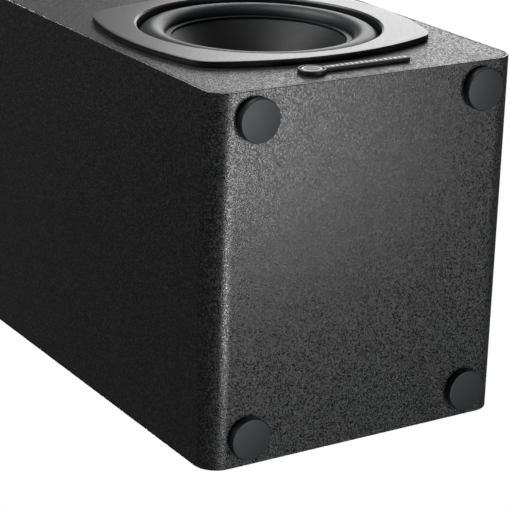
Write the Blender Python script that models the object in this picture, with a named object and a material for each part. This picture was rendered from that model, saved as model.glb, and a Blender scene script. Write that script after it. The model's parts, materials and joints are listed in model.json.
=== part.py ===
"""A compact ported powered subwoofer, standing on its four feet.

The row frame has +Z up, with the front facing -Y. The origin is under the middle of the whole
object, on the surface it stands on. Three face frames carry the pieces: in each, X and Y lie on the
face as someone facing it sees it, and Z points out of it.
"""

import math

import bmesh
import bpy
from mathutils import Vector

MM = 0.001

# Cabinet
CABINET_WIDTH = 200.0 * MM
CABINET_DEPTH = 216.0 * MM
CABINET_HEIGHT = 320.0 * MM
FOOT_HEIGHT = 5.5 * MM
FOOT_RADIUS = 12.4 * MM
FOOT_X = 74.2 * MM
FOOT_FROM_FRONT = 15.6 * MM
FOOT_FROM_REAR = 17.6 * MM
CORNER_RADIUS = 14.0 * MM
WALL = 12.0 * MM
LIP = 1.5 * MM
BAFFLE_THICKNESS = 18.0 * MM
REAR_THICKNESS = 12.0 * MM
GAP = 0.3 * MM
BRACE_SIDE = 18.0 * MM
BRACE_HEIGHT = 223.0 * MM

# What stands proud of the cabinet, in front and behind
TRIM_PROUD = 3.6 * MM
REAR_PROUD = 16.0 * MM

# Driver, from the baffle's face inwards
DRIVER_HEIGHT = 117.5 * MM + FOOT_HEIGHT
OPENING_RADIUS = 72.0 * MM
FLANGE_RADIUS = 80.0 * MM
FLANGE_FRONT = -5.6 * MM
FLANGE_BACK = -8.6 * MM
CONE_EDGE_RADIUS = 54.8 * MM
COIL_RADIUS = 16.0 * MM
MAGNET_RADIUS = 45.0 * MM
DRIVER_SCREW_RADIUS = 77.0 * MM
WINDOWS = 8

# Trim plate: four bulging sides of one radius, with rounded corners
TRIM_HALF_WIDTH = 89.7 * MM
TRIM_HALF_HEIGHT = 82.8 * MM
TRIM_SIDE_RADIUS = 174.0 * MM
TRIM_CORNER_RADIUS = 20.0 * MM

# Badge below the trim plate
BADGE_HEIGHT = 18.0 * MM + FOOT_HEIGHT
BADGE_HALF_WIDTH = 36.0 * MM
BADGE_STRIP = 5.4 * MM
BADGE_THICKNESS = 2.6 * MM
EMBLEM_RADIUS = 8.0 * MM

# Bass-reflex port
PORT_HEIGHT = 260.0 * MM + FOOT_HEIGHT
PORT_BORE = 25.0 * MM
PORT_LENGTH = 150.0 * MM
PORT_FLANGE = 41.0 * MM
PORT_COLLAR = 30.6 * MM

# Amplifier, on the rear panel
PLATE_WIDTH = 150.0 * MM
PLATE_HEIGHT = 196.0 * MM
PLATE_CENTRE = 140.0 * MM
PLATE_BACK = 1.8 * MM
PLATE_FRONT = 3.8 * MM
ON_PLATE = PLATE_FRONT + GAP
CUTOUT_WIDTH = 126.0 * MM
CUTOUT_HEIGHT = 172.0 * MM
BOARD_BACK = -17.6 * MM
BOARD_FRONT = -16.0 * MM
BOARD_CENTRE = 155.0 * MM
CONTROL_HEIGHT = 165.0 * MM
JACK_HEIGHT = 132.0 * MM
LEVEL_X = -45.0 * MM
CROSSOVER_X = -8.0 * MM
PHASE_X = 32.0 * MM
JACK_LEFT_X = -45.0 * MM
JACK_RIGHT_X = -23.0 * MM
LIGHT_X = 32.0 * MM
MAINS_X = 44.0 * MM
POWER_SWITCH_HEIGHT = 98.0 * MM
INLET_HEIGHT = 65.0 * MM
TRANSFORMER_X = -24.0 * MM
TRANSFORMER_HEIGHT = 82.0 * MM
SHAFT_RADIUS = 3.0 * MM
KNOB_RADIUS = 9.0 * MM
PHASE_TRAVEL = 4.0 * MM
ROCKER_TILT = math.radians(8.0)
PIN_SPACING = 8.6 * MM

FRONT_Y = TRIM_PROUD - (CABINET_DEPTH + TRIM_PROUD + REAR_PROUD) / 2
REAR_Y = FRONT_Y + CABINET_DEPTH

# Finish: base colour, roughness, metallic
FINISHES = {
    "vinyl_wrapped_board": ((0.030, 0.031, 0.032), 0.62, 0.0),
    "satin_trim": ((0.035, 0.036, 0.037), 0.30, 0.0),
    "rubber": ((0.028, 0.029, 0.030), 0.85, 0.0),
    "coated_paper": ((0.022, 0.022, 0.023), 0.65, 0.0),
    "board_wood": ((0.36, 0.25, 0.15), 0.85, 0.0),
    "wadding": ((0.72, 0.72, 0.70), 0.95, 0.0),
    "black_plastic": ((0.025, 0.025, 0.026), 0.50, 0.0),
    "clear_plastic": ((0.30, 0.75, 0.35), 0.20, 0.0),
    "painted_steel": ((0.040, 0.040, 0.042), 0.55, 1.0),
    "bare_steel": ((0.62, 0.62, 0.60), 0.35, 1.0),
    "black_aluminium": ((0.060, 0.060, 0.062), 0.45, 1.0),
    "copper_coil": ((0.72, 0.36, 0.18), 0.40, 1.0),
    "ferrite": ((0.070, 0.070, 0.072), 0.70, 0.0),
    "spider_cloth": ((0.60, 0.42, 0.16), 0.90, 0.0),
    "circuit_board": ((0.03, 0.16, 0.07), 0.45, 0.0),
    "brass_plating": ((0.80, 0.62, 0.30), 0.30, 1.0),
    "red_plastic": ((0.55, 0.03, 0.03), 0.45, 0.0),
    "white_plastic": ((0.80, 0.80, 0.78), 0.45, 0.0),
    "foam": ((0.05, 0.05, 0.05), 0.95, 0.0),
}


def clear_scene():
    """Removes whatever the scene holds."""
    for thing in list(bpy.data.objects):
        bpy.data.objects.remove(thing, do_unlink=True)


def make_finish(name):
    """A Principled material for one entry of FINISHES."""
    colour, roughness, metallic = FINISHES[name]
    material = bpy.data.materials.new(name)
    material.use_nodes = True
    shader = material.node_tree.nodes["Principled BSDF"]
    shader.inputs["Base Color"].default_value = (*colour, 1.0)
    shader.inputs["Roughness"].default_value = roughness
    shader.inputs["Metallic"].default_value = metallic
    material.diffuse_color = (*colour, 1.0)
    return material


def add_frame(name, location, rotation=(0.0, 0.0, 0.0), parent=None):
    """An empty that carries pieces."""
    frame = bpy.data.objects.new(name, None)
    bpy.context.scene.collection.objects.link(frame)
    frame.parent = parent
    frame.location = location
    frame.rotation_euler = rotation
    return frame


def add_object(name, shape, parent, location=(0.0, 0.0, 0.0), rotation=(0.0, 0.0, 0.0)):
    """Puts a bmesh into the scene as an object under its parent."""
    mesh = bpy.data.meshes.new(name)
    shape.to_mesh(mesh)
    shape.free()
    mesh.shade_smooth()
    mesh.set_sharp_from_angle(angle=math.radians(35.0))
    thing = bpy.data.objects.new(name, mesh)
    bpy.context.scene.collection.objects.link(thing)
    thing.parent = parent
    thing.location = location
    thing.rotation_euler = rotation
    return thing


def add_piece(name, shape, finish, parent, location=(0.0, 0.0, 0.0), rotation=(0.0, 0.0, 0.0)):
    """A real piece of the object, with its finish."""
    piece = add_object(name, shape, parent, location, rotation)
    piece.data.materials.append(bpy.data.materials[finish])
    return piece


def combine(piece, other, operation):
    """Joins another solid to a piece, or cuts it away. The other solid stays as a hidden helper."""
    other.hide_render = True
    other.display_type = "WIRE"
    boolean = piece.modifiers.new(operation.title() + " " + other.name, "BOOLEAN")
    boolean.operation = operation
    boolean.solver = "EXACT"
    boolean.object = other


def cut(piece, shape, parent, location=(0.0, 0.0, 0.0), rotation=(0.0, 0.0, 0.0)):
    """Cuts a bmesh shape away from a piece."""
    combine(piece, add_object(piece.name + "_cut", shape, parent, location, rotation), "DIFFERENCE")


def join(piece, shape, parent, location=(0.0, 0.0, 0.0), rotation=(0.0, 0.0, 0.0)):
    """Joins a bmesh shape to a piece."""
    combine(piece, add_object(piece.name + "_join", shape, parent, location, rotation), "UNION")


def turned(profile, segments=24):
    """A closed profile of (radius, height) points, turned about Z. Points on the axis make a pole."""
    shape = bmesh.new()
    points = [shape.verts.new((radius, 0.0, height)) for radius, height in profile]
    edges = []
    for start, end in zip(points, points[1:] + points[:1]):
        if start.co.x > 0.0 or end.co.x > 0.0:
            edges.append(shape.edges.new((start, end)))
    bmesh.ops.spin(
        shape,
        geom=points + edges,
        cent=(0.0, 0.0, 0.0),
        axis=(0.0, 0.0, 1.0),
        angle=2.0 * math.pi,
        steps=segments,
        use_merge=True,
    )
    bmesh.ops.remove_doubles(shape, verts=shape.verts, dist=1e-7)
    bmesh.ops.recalc_face_normals(shape, faces=shape.faces)
    return shape


def disc(radius, low, high, segments=24):
    """A plain cylinder about Z between two heights."""
    return turned([(0.0, low), (radius, low), (radius, high), (0.0, high)], segments)


def ring(inner, outer, low, high, segments=28):
    """A flat ring about Z between two heights."""
    return turned([(inner, low), (outer, low), (outer, high), (inner, high)], segments)


def slab(outline, low, high):
    """An outline of (x, y) points, carried along Z between two heights."""
    shape = bmesh.new()
    face = shape.faces.new([shape.verts.new((x, y, low)) for x, y in outline])
    made = bmesh.ops.extrude_face_region(shape, geom=[face])
    moved = [item for item in made["geom"] if isinstance(item, bmesh.types.BMVert)]
    bmesh.ops.translate(shape, verts=moved, vec=(0.0, 0.0, high - low))
    bmesh.ops.recalc_face_normals(shape, faces=shape.faces)
    return shape


def block(size, low, high):
    """A box of (width, height) about Z between two heights."""
    half_width, half_height = size[0] / 2, size[1] / 2
    corners = ((-1, -1), (1, -1), (1, 1), (-1, 1))
    return slab([(half_width * x, half_height * y) for x, y in corners], low, high)


def arc(centre, radius, start, end, steps):
    """Points on an arc, both ends included. Angles are in radians from +X."""
    angles = [start + (end - start) * step / steps for step in range(steps + 1)]
    return [(centre[0] + radius * math.cos(a), centre[1] + radius * math.sin(a)) for a in angles]


def rounded_rectangle(width, height, radius, steps=6, centre=(0.0, 0.0)):
    """The outline of a rectangle with rounded corners."""
    outline = []
    for quarter, (x, y) in enumerate(((1, 1), (-1, 1), (-1, -1), (1, -1))):
        corner = (centre[0] + x * (width / 2 - radius), centre[1] + y * (height / 2 - radius))
        start = quarter * math.pi / 2
        outline += arc(corner, radius, start, start + math.pi / 2, steps)
    return outline


def mirrored(points, across_x, across_y):
    """Points mirrored across the Y axis, the X axis or both, in an order that keeps the turn."""
    flipped = [(-x if across_x else x, -y if across_y else y) for x, y in points]
    return flipped[::-1] if across_x != across_y else flipped


def trim_outline():
    """The trim plate's outline: side and top arcs of one radius, joined by rounded corners.

    The corner's centre lies TRIM_SIDE_RADIUS - TRIM_CORNER_RADIUS from both arcs' centres.
    """
    side_centre = (TRIM_HALF_WIDTH - TRIM_SIDE_RADIUS, 0.0)
    top_centre = (0.0, TRIM_HALF_HEIGHT - TRIM_SIDE_RADIUS)
    reach = TRIM_SIDE_RADIUS - TRIM_CORNER_RADIUS
    middle = Vector(((side_centre[0] + top_centre[0]) / 2, (side_centre[1] + top_centre[1]) / 2))
    between = Vector(top_centre) - Vector(side_centre)
    away = Vector((-between.y, between.x)).normalized()
    rise = math.sqrt(reach**2 - (between.length / 2) ** 2)
    corner = middle + away * rise
    side_angle = math.atan2(corner.y - side_centre[1], corner.x - side_centre[0])
    top_angle = math.atan2(corner.y - top_centre[1], corner.x - top_centre[0])
    quarter = arc(side_centre, TRIM_SIDE_RADIUS, 0.0, side_angle, 6)
    quarter += arc(corner, TRIM_CORNER_RADIUS, side_angle, top_angle, 5)[1:]
    quarter += arc(top_centre, TRIM_SIDE_RADIUS, top_angle, math.pi / 2, 7)[1:]
    outline = quarter[:-1] + mirrored(quarter, True, False)[:-1]
    return outline + mirrored(quarter, True, True)[:-1] + mirrored(quarter, False, True)[:-1]


def cabinet_outline(inset):
    """The cabinet's outline on its front or rear, moved in by an inset."""
    return rounded_rectangle(
        CABINET_WIDTH - 2 * inset,
        CABINET_HEIGHT - 2 * inset,
        max(CORNER_RADIUS - inset, 2.0 * MM),
        centre=(0.0, FOOT_HEIGHT + CABINET_HEIGHT / 2),
    )


def build_cabinet(front):
    """Shell, baffle, rear panel, brace and damping pad, placed from the front face."""
    over = 1.0 * MM
    tube = slab(cabinet_outline(0.0), -CABINET_DEPTH, 0.0)
    shell = add_piece("cabinet_shell", tube, "vinyl_wrapped_board", front)
    cut(shell, slab(cabinet_outline(WALL), -CABINET_DEPTH - over, over), front)
    cut(shell, slab(cabinet_outline(LIP), -BAFFLE_THICKNESS - GAP, over), front)
    rear_ledge = -CABINET_DEPTH + REAR_THICKNESS + GAP
    cut(shell, slab(cabinet_outline(LIP), -CABINET_DEPTH - over, rear_ledge), front)

    board = slab(cabinet_outline(LIP + GAP), -BAFFLE_THICKNESS, 0.0)
    baffle = add_piece("front_baffle", board, "vinyl_wrapped_board", front)
    driver_centre = (0.0, DRIVER_HEIGHT, 0.0)
    cut(baffle, disc(73.5 * MM, -BAFFLE_THICKNESS - over, over, 40), front, driver_centre)
    cut(baffle, disc(FLANGE_RADIUS + 0.5 * MM, -10.4 * MM, over, 40), front, driver_centre)
    for x, y in driver_screw_places():
        place = (x, DRIVER_HEIGHT + y, 0.0)
        cut(baffle, disc(2.2 * MM, -BAFFLE_THICKNESS - over, -9.0 * MM, 8), front, place)
    port_centre = (0.0, PORT_HEIGHT, 0.0)
    cut(baffle, disc(PORT_COLLAR + GAP, -BAFFLE_THICKNESS - over, over, 32), front, port_centre)
    cut(baffle, disc(PORT_FLANGE + GAP, -4.0 * MM, over, 32), front, port_centre)

    brace = block((CABINET_WIDTH - 2 * WALL - 2 * GAP, BRACE_SIDE), -BRACE_SIDE / 2, BRACE_SIDE / 2)
    add_piece("brace", brace, "board_wood", front, (0.0, BRACE_HEIGHT, -CABINET_DEPTH / 2))

    pad_thickness = 15.0 * MM
    pad_top = FOOT_HEIGHT + CABINET_HEIGHT - WALL - 2 * GAP
    pad_outline = rounded_rectangle(150.0 * MM, pad_thickness, 5.0 * MM, 4)
    pad = slab(pad_outline, -185.0 * MM, -25.0 * MM)
    add_piece("damping_pad", pad, "wadding", front, (0.0, pad_top - pad_thickness / 2, 0.0))


def build_rear_panel(rear):
    """The rear panel, with the amplifier's cut-out and its screw holes."""
    board = slab(cabinet_outline(LIP + GAP), -REAR_THICKNESS, 0.0)
    panel = add_piece("rear_panel", board, "vinyl_wrapped_board", rear)
    cutout = rounded_rectangle(CUTOUT_WIDTH, CUTOUT_HEIGHT, 6.0 * MM, 3, (0.0, PLATE_CENTRE))
    cut(panel, slab(cutout, -REAR_THICKNESS - MM, MM), rear)
    for x, y in plate_screw_places():
        cut(panel, disc(2.0 * MM, -REAR_THICKNESS - MM, MM, 8), rear, (x, y, 0.0))


def build_feet(base):
    """Four rubber feet under the cabinet, with softened rims."""
    rim = 0.7 * MM
    top = FOOT_HEIGHT - GAP
    profile = [
        (0.0, 0.0),
        (FOOT_RADIUS - rim, 0.0),
        (FOOT_RADIUS, rim),
        (FOOT_RADIUS, top),
        (0.0, top),
    ]
    rows = {"front": FRONT_Y + FOOT_FROM_FRONT, "rear": REAR_Y - FOOT_FROM_REAR}
    sides = {"left": -FOOT_X, "right": FOOT_X}
    for row, y in rows.items():
        for side, x in sides.items():
            add_piece(f"foot_{row}_{side}", turned(profile, 28), "rubber", base, (x, y, 0.0))


def driver_screw_places():
    """The four driver screws, at 45 degrees round the flange."""
    reach = DRIVER_SCREW_RADIUS * math.cos(math.pi / 4)
    return [(x * reach, y * reach) for x, y in ((-1, -1), (1, -1), (-1, 1), (1, 1))]


def build_trim(driver):
    """The trim plate round the driver: a flat plate with a skirt inside its opening."""
    plate = add_piece("trim_ring", slab(trim_outline(), GAP, TRIM_PROUD), "satin_trim", driver)
    skirt = ring(OPENING_RADIUS - 0.5 * MM, OPENING_RADIUS + 1.2 * MM, -3.0 * MM, TRIM_PROUD / 2, 40)
    join(plate, skirt, driver)
    cut(plate, disc(OPENING_RADIUS, -5.0 * MM, TRIM_PROUD + MM, 40), driver)


def build_badge(front):
    """A plain badge: a round emblem with a long strip beside it."""
    emblem_x = EMBLEM_RADIUS - BADGE_HALF_WIDTH
    low = GAP
    high = BADGE_THICKNESS
    emblem_place = (emblem_x, BADGE_HEIGHT, 0.0)
    badge = add_piece("badge", disc(EMBLEM_RADIUS, low, high), "black_plastic", front, emblem_place)
    strip_length = BADGE_HALF_WIDTH - emblem_x
    join(
        badge,
        block((strip_length, BADGE_STRIP), low, high - 0.2 * MM),
        front,
        (emblem_x + strip_length / 2, BADGE_HEIGHT, 0.0),
    )


def build_port(front):
    """The port: a flared mouth in a flange, and a straight tube behind it."""
    wall = 2.5 * MM
    flange_back = -3.7 * MM
    flare = 11.0 * MM
    mouth = [
        (PORT_BORE + flare - flare * math.cos(angle), -flare + flare * math.sin(angle))
        for angle in (math.radians(30.0 * step) for step in range(4))
    ]
    profile = [(PORT_BORE, -PORT_LENGTH)]
    profile += mouth
    profile += [(PORT_FLANGE, 0.0), (PORT_FLANGE, flange_back)]
    profile += [(PORT_COLLAR, flange_back), (PORT_COLLAR, -BAFFLE_THICKNESS + 4.0 * MM)]
    profile += [(PORT_BORE + wall, -BAFFLE_THICKNESS), (PORT_BORE + wall, -PORT_LENGTH)]
    add_piece("port_tube", turned(profile, 32), "black_plastic", front, (0.0, PORT_HEIGHT, 0.0))


def basket_windows():
    """The cutters for the gaps between the basket's arms, as one mesh of separate boxes."""
    boxes = bmesh.new()
    half_width = 13.0 * MM
    inner, outer = 45.0 * MM, 85.0 * MM
    low, high = -42.0 * MM, -17.0 * MM
    for number in range(WINDOWS):
        angle = 2 * math.pi * (number + 0.5) / WINDOWS
        along = Vector((math.cos(angle), math.sin(angle), 0.0))
        across = Vector((-math.sin(angle), math.cos(angle), 0.0))
        corners = [
            boxes.verts.new(along * reach + across * side * half_width + Vector((0.0, 0.0, height)))
            for height in (low, high)
            for reach, side in ((inner, -1), (outer, -1), (outer, 1), (inner, 1))
        ]
        for quad in ((0, 1, 2, 3), (4, 5, 6, 7), (0, 1, 5, 4), (1, 2, 6, 5), (2, 3, 7, 6), (3, 0, 4, 7)):
            boxes.faces.new([corners[index] for index in quad])
    bmesh.ops.recalc_face_normals(boxes, faces=boxes.faces)
    return boxes


def build_driver_frame(driver):
    """Basket, gasket, screws, magnet system and terminal strip: what stays still."""
    profile = [
        (FLANGE_RADIUS, FLANGE_FRONT),
        (FLANGE_RADIUS, FLANGE_BACK),
        (72.9 * MM, FLANGE_BACK),
        (72.9 * MM, -14.0 * MM),
        (50.5 * MM, -46.5 * MM),
        (50.5 * MM, -53.9 * MM),
        (20.0 * MM, -53.9 * MM),
        (20.0 * MM, -51.9 * MM),
        (44.5 * MM, -51.9 * MM),
        (44.5 * MM, -46.3 * MM),
        (48.7 * MM, -46.3 * MM),
        (70.4 * MM, -14.0 * MM),
        (70.4 * MM, FLANGE_FRONT),
    ]
    basket = add_piece("basket", turned(profile, 32), "painted_steel", driver)
    cut(basket, basket_windows(), driver)

    gasket = add_piece("driver_gasket", ring(74.0 * MM, 79.8 * MM, -10.1 * MM, -8.9 * MM), "foam", driver)
    screw = [
        (0.0, -16.5 * MM),
        (1.2 * MM, -16.5 * MM),
        (1.9 * MM, -15.0 * MM),
        (1.9 * MM, -5.3 * MM),
        (2.8 * MM, -5.3 * MM),
        (2.8 * MM, -4.0 * MM),
        (1.6 * MM, -3.2 * MM),
        (0.0, -3.2 * MM),
    ]
    for number, (x, y) in enumerate(driver_screw_places(), 1):
        place = (x, y, 0.0)
        cut(basket, disc(2.2 * MM, -9.5 * MM, -5.0 * MM, 8), driver, place)
        cut(gasket, disc(2.2 * MM, -11.0 * MM, -8.0 * MM, 8), driver, place)
        add_piece(f"driver_screw_{number}", turned(screw, 8), "bare_steel", driver, place)

    add_piece("top_plate", ring(18.1 * MM, 40.0 * MM, -59.2 * MM, -54.2 * MM), "bare_steel", driver)
    add_piece("magnet", ring(24.0 * MM, MAGNET_RADIUS, -77.5 * MM, -59.5 * MM), "ferrite", driver)
    vent = 5.0 * MM
    pole = COIL_RADIUS - 0.7 * MM
    pole_front = -54.2 * MM
    yoke_radius = 42.0 * MM
    yoke_back = -82.8 * MM
    yoke_front = -77.8 * MM
    yoke = [
        (vent, yoke_back),
        (yoke_radius, yoke_back),
        (yoke_radius, yoke_front),
        (pole, yoke_front),
        (pole, pole_front),
        (vent, pole_front),
    ]
    add_piece("yoke", turned(yoke, 24), "bare_steel", driver)

    strip = block((20.0 * MM, 8.6 * MM), -30.0 * MM, -28.4 * MM)
    add_piece("terminal_strip", strip, "board_wood", driver, (0.0, 67.7 * MM, 0.0))


def build_driver_motion(driver):
    """Cone, dust cap and voice coil, which travel, with the surround and spider that carry them."""
    neck = COIL_RADIUS + 1.2 * MM
    cone = [
        (CONE_EDGE_RADIUS, -5.6 * MM),
        (CONE_EDGE_RADIUS, -6.8 * MM),
        (51.0 * MM, -6.8 * MM),
        (33.0 * MM, -23.4 * MM),
        (neck, -37.4 * MM),
        (neck, -36.0 * MM),
        (33.6 * MM, -22.2 * MM),
        (51.5 * MM, -5.6 * MM),
    ]
    add_piece("cone", turned(cone, 40), "coated_paper", driver)

    dome_angles = [math.radians(degrees) for degrees in (15, 40, 65)]
    dome_radius = 20.6 * MM
    dome_rise = 8.0 * MM
    dome_base = -32.0 * MM
    skin = 1.0 * MM
    cap = [(dome_radius, dome_base - 0.6 * MM)]
    cap += [
        (dome_radius * math.cos(angle), dome_base + dome_rise * math.sin(angle))
        for angle in dome_angles
    ]
    cap += [(0.0, dome_base + dome_rise), (0.0, dome_base + dome_rise - skin)]
    inner_radius = dome_radius - 1.2 * MM
    inner_base = dome_base - skin
    cap += [
        (inner_radius * math.cos(angle), inner_base + dome_rise * math.sin(angle))
        for angle in reversed(dome_angles)
    ]
    cap += [(inner_radius, dome_base - 0.8 * MM)]
    add_piece("dust_cap", turned(cap), "coated_paper", driver)

    coil = [
        (COIL_RADIUS, -63.0 * MM),
        (COIL_RADIUS + 1.4 * MM, -62.0 * MM),
        (COIL_RADIUS + 1.4 * MM, -51.0 * MM),
        (COIL_RADIUS + 0.6 * MM, -51.0 * MM),
        (COIL_RADIUS + 0.6 * MM, -35.4 * MM),
        (COIL_RADIUS, -35.4 * MM),
    ]
    add_piece("voice_coil", turned(coil, 24), "copper_coil", driver)

    roll_middle = 63.0 * MM
    roll_reach = 7.4 * MM
    roll_height = 6.1 * MM
    skin = 0.5 * MM
    base = -4.7 * MM
    outer_reach = roll_reach + skin
    outer_height = roll_height + skin
    inner_reach = roll_reach - skin
    inner_height = roll_height - skin
    angles = [math.radians(degrees) for degrees in range(0, 181, 36)]
    outer_side = [
        (roll_middle + outer_reach * math.cos(angle), base + outer_height * math.sin(angle))
        for angle in angles
    ]
    inner_side = [
        (roll_middle + inner_reach * math.cos(angle), base + inner_height * math.sin(angle))
        for angle in angles
    ]
    surround = [(73.0 * MM, base - skin), (73.0 * MM, base + skin)]
    surround += outer_side
    surround += [(51.8 * MM, base + skin), (51.8 * MM, base - skin)]
    surround += [(radius, height - skin) for radius, height in reversed(inner_side)]
    add_piece("surround", turned(surround, 32), "rubber", driver)

    skin = 0.45 * MM
    middle = -45.5 * MM
    waves = [(18.0 + 3.3 * step, 1.4 * math.sin(step * math.pi / 2)) for step in range(9)]
    top_side = [(radius * MM, middle + rise * MM + skin) for radius, rise in waves]
    under_side = [(radius * MM, middle + rise * MM - skin) for radius, rise in reversed(waves)]
    spider = top_side + [(48.4 * MM, middle + skin), (48.4 * MM, middle - skin)] + under_side
    add_piece("spider", turned(spider, 28), "spider_cloth", driver)


def plate_screw_places():
    """The four amplifier screws, near the plate's corners."""
    half_width = PLATE_WIDTH / 2 - 6.0 * MM
    half_height = PLATE_HEIGHT / 2 - 6.0 * MM
    corners = ((-1, -1), (1, -1), (-1, 1), (1, 1))
    return [(x * half_width, PLATE_CENTRE + y * half_height) for x, y in corners]


def build_amplifier_plate(rear):
    """The amplifier's plate with its holes, its gasket, heat sink and screws."""
    centre = (0.0, PLATE_CENTRE)
    outline = rounded_rectangle(PLATE_WIDTH, PLATE_HEIGHT, 5.0 * MM, 3, centre)
    plate = add_piece("amplifier_plate", slab(outline, PLATE_BACK, PLATE_FRONT), "painted_steel", rear)

    def hole(shape, x, y):
        cut(plate, shape, rear, (x, y, 0.0))

    low, high = PLATE_BACK - MM, PLATE_FRONT + MM
    for x in (LEVEL_X, CROSSOVER_X):
        hole(disc(SHAFT_RADIUS + 0.7 * MM, low, high, 12), x, CONTROL_HEIGHT)
    for x in (JACK_LEFT_X, JACK_RIGHT_X):
        hole(disc(4.6 * MM, low, high, 12), x, JACK_HEIGHT)
    hole(disc(1.9 * MM, low, high, 8), LIGHT_X, JACK_HEIGHT)
    hole(disc(2.9 * MM, low, high, 8), TRANSFORMER_X, TRANSFORMER_HEIGHT)
    hole(block((8.4 * MM, 4.0 * MM), low, high), PHASE_X, CONTROL_HEIGHT)
    hole(block((19.8 * MM, 13.8 * MM), low, high), MAINS_X, POWER_SWITCH_HEIGHT)
    hole(block((21.2 * MM, 12.2 * MM), low, high), MAINS_X, INLET_HEIGHT)

    inner = rounded_rectangle(CUTOUT_WIDTH + 2 * MM, CUTOUT_HEIGHT + 2 * MM, 6.0 * MM, 3, centre)
    gasket_outline = rounded_rectangle(PLATE_WIDTH - 2 * MM, PLATE_HEIGHT - 2 * MM, 4.0 * MM, 3, centre)
    gasket = add_piece("amplifier_gasket", slab(gasket_outline, GAP, PLATE_BACK - GAP), "foam", rear)
    cut(gasket, slab(inner, -MM, PLATE_BACK + MM), rear)

    screw = [
        (0.0, -9.5 * MM),
        (1.0 * MM, -9.5 * MM),
        (1.7 * MM, -8.0 * MM),
        (1.7 * MM, ON_PLATE),
        (3.4 * MM, ON_PLATE),
        (3.4 * MM, ON_PLATE + 0.9 * MM),
        (2.0 * MM, ON_PLATE + 2.0 * MM),
        (0.0, ON_PLATE + 2.0 * MM),
    ]
    for number, (x, y) in enumerate(plate_screw_places(), 1):
        hole(disc(2.1 * MM, low, high, 8), x, y)
        cut(gasket, disc(2.1 * MM, -MM, PLATE_BACK + MM, 8), rear, (x, y, 0.0))
        add_piece(f"amplifier_screw_{number}", turned(screw, 12), "bare_steel", rear, (x, y, 0.0))

    build_heat_sink(rear)


def build_heat_sink(rear):
    """A finned extrusion above the controls. Its section is a comb, carried upwards."""
    fins = 13
    pitch = 8.5 * MM
    fin = 1.6 * MM
    base_front = ON_PLATE + 3.0 * MM
    half_width = (pitch * (fins - 1) + fin) / 2
    comb = [(half_width, -ON_PLATE), (-half_width, -ON_PLATE)]
    for number in range(fins):
        left = -half_width + number * pitch
        comb += [(left, -REAR_PROUD), (left + fin, -REAR_PROUD)]
        if number < fins - 1:
            comb += [(left + fin, -base_front), (left + pitch, -base_front)]
    half_height = 18.0 * MM
    sink = slab(comb, -half_height, half_height)
    place = (0.0, 212.0 * MM, 0.0)
    add_piece("heat_sink", sink, "black_aluminium", rear, place, (-math.pi / 2, 0.0, 0.0))


def build_control(rear, name, x):
    """A rotary control: its potentiometer stays, and its shaft and knob turn on their own axis."""
    place = (x, CONTROL_HEIGHT, 0.0)
    bore = SHAFT_RADIUS + GAP
    can = add_piece(
        f"{name}_potentiometer",
        block((16.0 * MM, 16.0 * MM), BOARD_FRONT + GAP, -8.0 * MM),
        "bare_steel",
        rear,
        place,
    )
    join(can, disc(bore + 0.9 * MM, -9.0 * MM, PLATE_BACK - GAP, 16), rear, place)
    cut(can, disc(bore, -13.0 * MM, PLATE_BACK + MM, 16), rear, place)

    turning = add_frame(f"{name}_axis", place, parent=rear)
    shaft_end = 12.0 * MM
    add_piece(f"{name}_shaft", disc(SHAFT_RADIUS, -12.7 * MM, shaft_end, 16), "bare_steel", turning)
    low, high = ON_PLATE + 0.4 * MM, REAR_PROUD
    knob = add_piece(
        f"{name}_knob",
        turned(
            [
                (bore, low),
                (KNOB_RADIUS, low),
                (KNOB_RADIUS - 0.8 * MM, high - 0.8 * MM),
                (KNOB_RADIUS - 1.6 * MM, high),
                (0.0, high),
                (0.0, shaft_end + GAP),
                (bore, shaft_end + GAP),
            ]
        ),
        "black_plastic",
        turning,
    )
    pointer = block((1.2 * MM, 6.0 * MM), high - 0.6 * MM, high + MM)
    cut(knob, pointer, turning, (0.0, 4.6 * MM, 0.0))


def build_phase_switch(rear):
    """A slide switch behind a slot. The lever rests at one end of its travel."""
    place = (PHASE_X, CONTROL_HEIGHT, 0.0)
    case = block((13.0 * MM, 7.0 * MM), BOARD_FRONT + GAP, PLATE_BACK - GAP)
    body = add_piece("phase_switch", case, "black_plastic", rear, place)
    cut(body, block((8.4 * MM, 4.0 * MM), -3.0 * MM, PLATE_BACK + MM), rear, place)
    sliding = add_frame("phase_axis", (PHASE_X - PHASE_TRAVEL / 2, CONTROL_HEIGHT, 0.0), parent=rear)
    lever = block((3.6 * MM, 3.2 * MM), -2.6 * MM, PLATE_FRONT + 2.0 * MM)
    add_piece("phase_lever", lever, "white_plastic", sliding)


def build_power_switch(rear):
    """A rocker switch: the frame stays, and the rocker tips about its upright axis."""
    place = (MAINS_X, POWER_SWITCH_HEIGHT, 0.0)
    flange_top = ON_PLATE + 2.0 * MM
    flange = block((22.0 * MM, 16.0 * MM), ON_PLATE, flange_top)
    frame = add_piece("power_switch_frame", flange, "black_plastic", rear, place)
    join(frame, block((19.0 * MM, 13.0 * MM), -14.0 * MM, ON_PLATE + MM), rear, place)
    cut(frame, block((15.6 * MM, 10.6 * MM), -7.0 * MM, flange_top + MM), rear, place)

    pivot = 3.0 * MM
    tilting = add_frame("power_axis", (MAINS_X, POWER_SWITCH_HEIGHT, pivot), parent=rear)
    reach = 7.3 * MM
    section = arc((0.0, 0.0), reach, math.radians(-50), math.radians(28), 6)
    section += [(0.0, 2.4 * MM)]
    section += mirrored(section[:-1], True, False)
    half_height = 5.0 * MM
    rocker = slab(section, -half_height, half_height)
    add_piece("power_rocker", rocker, "black_plastic", tilting, rotation=(math.pi / 2, -ROCKER_TILT, 0.0))


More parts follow.
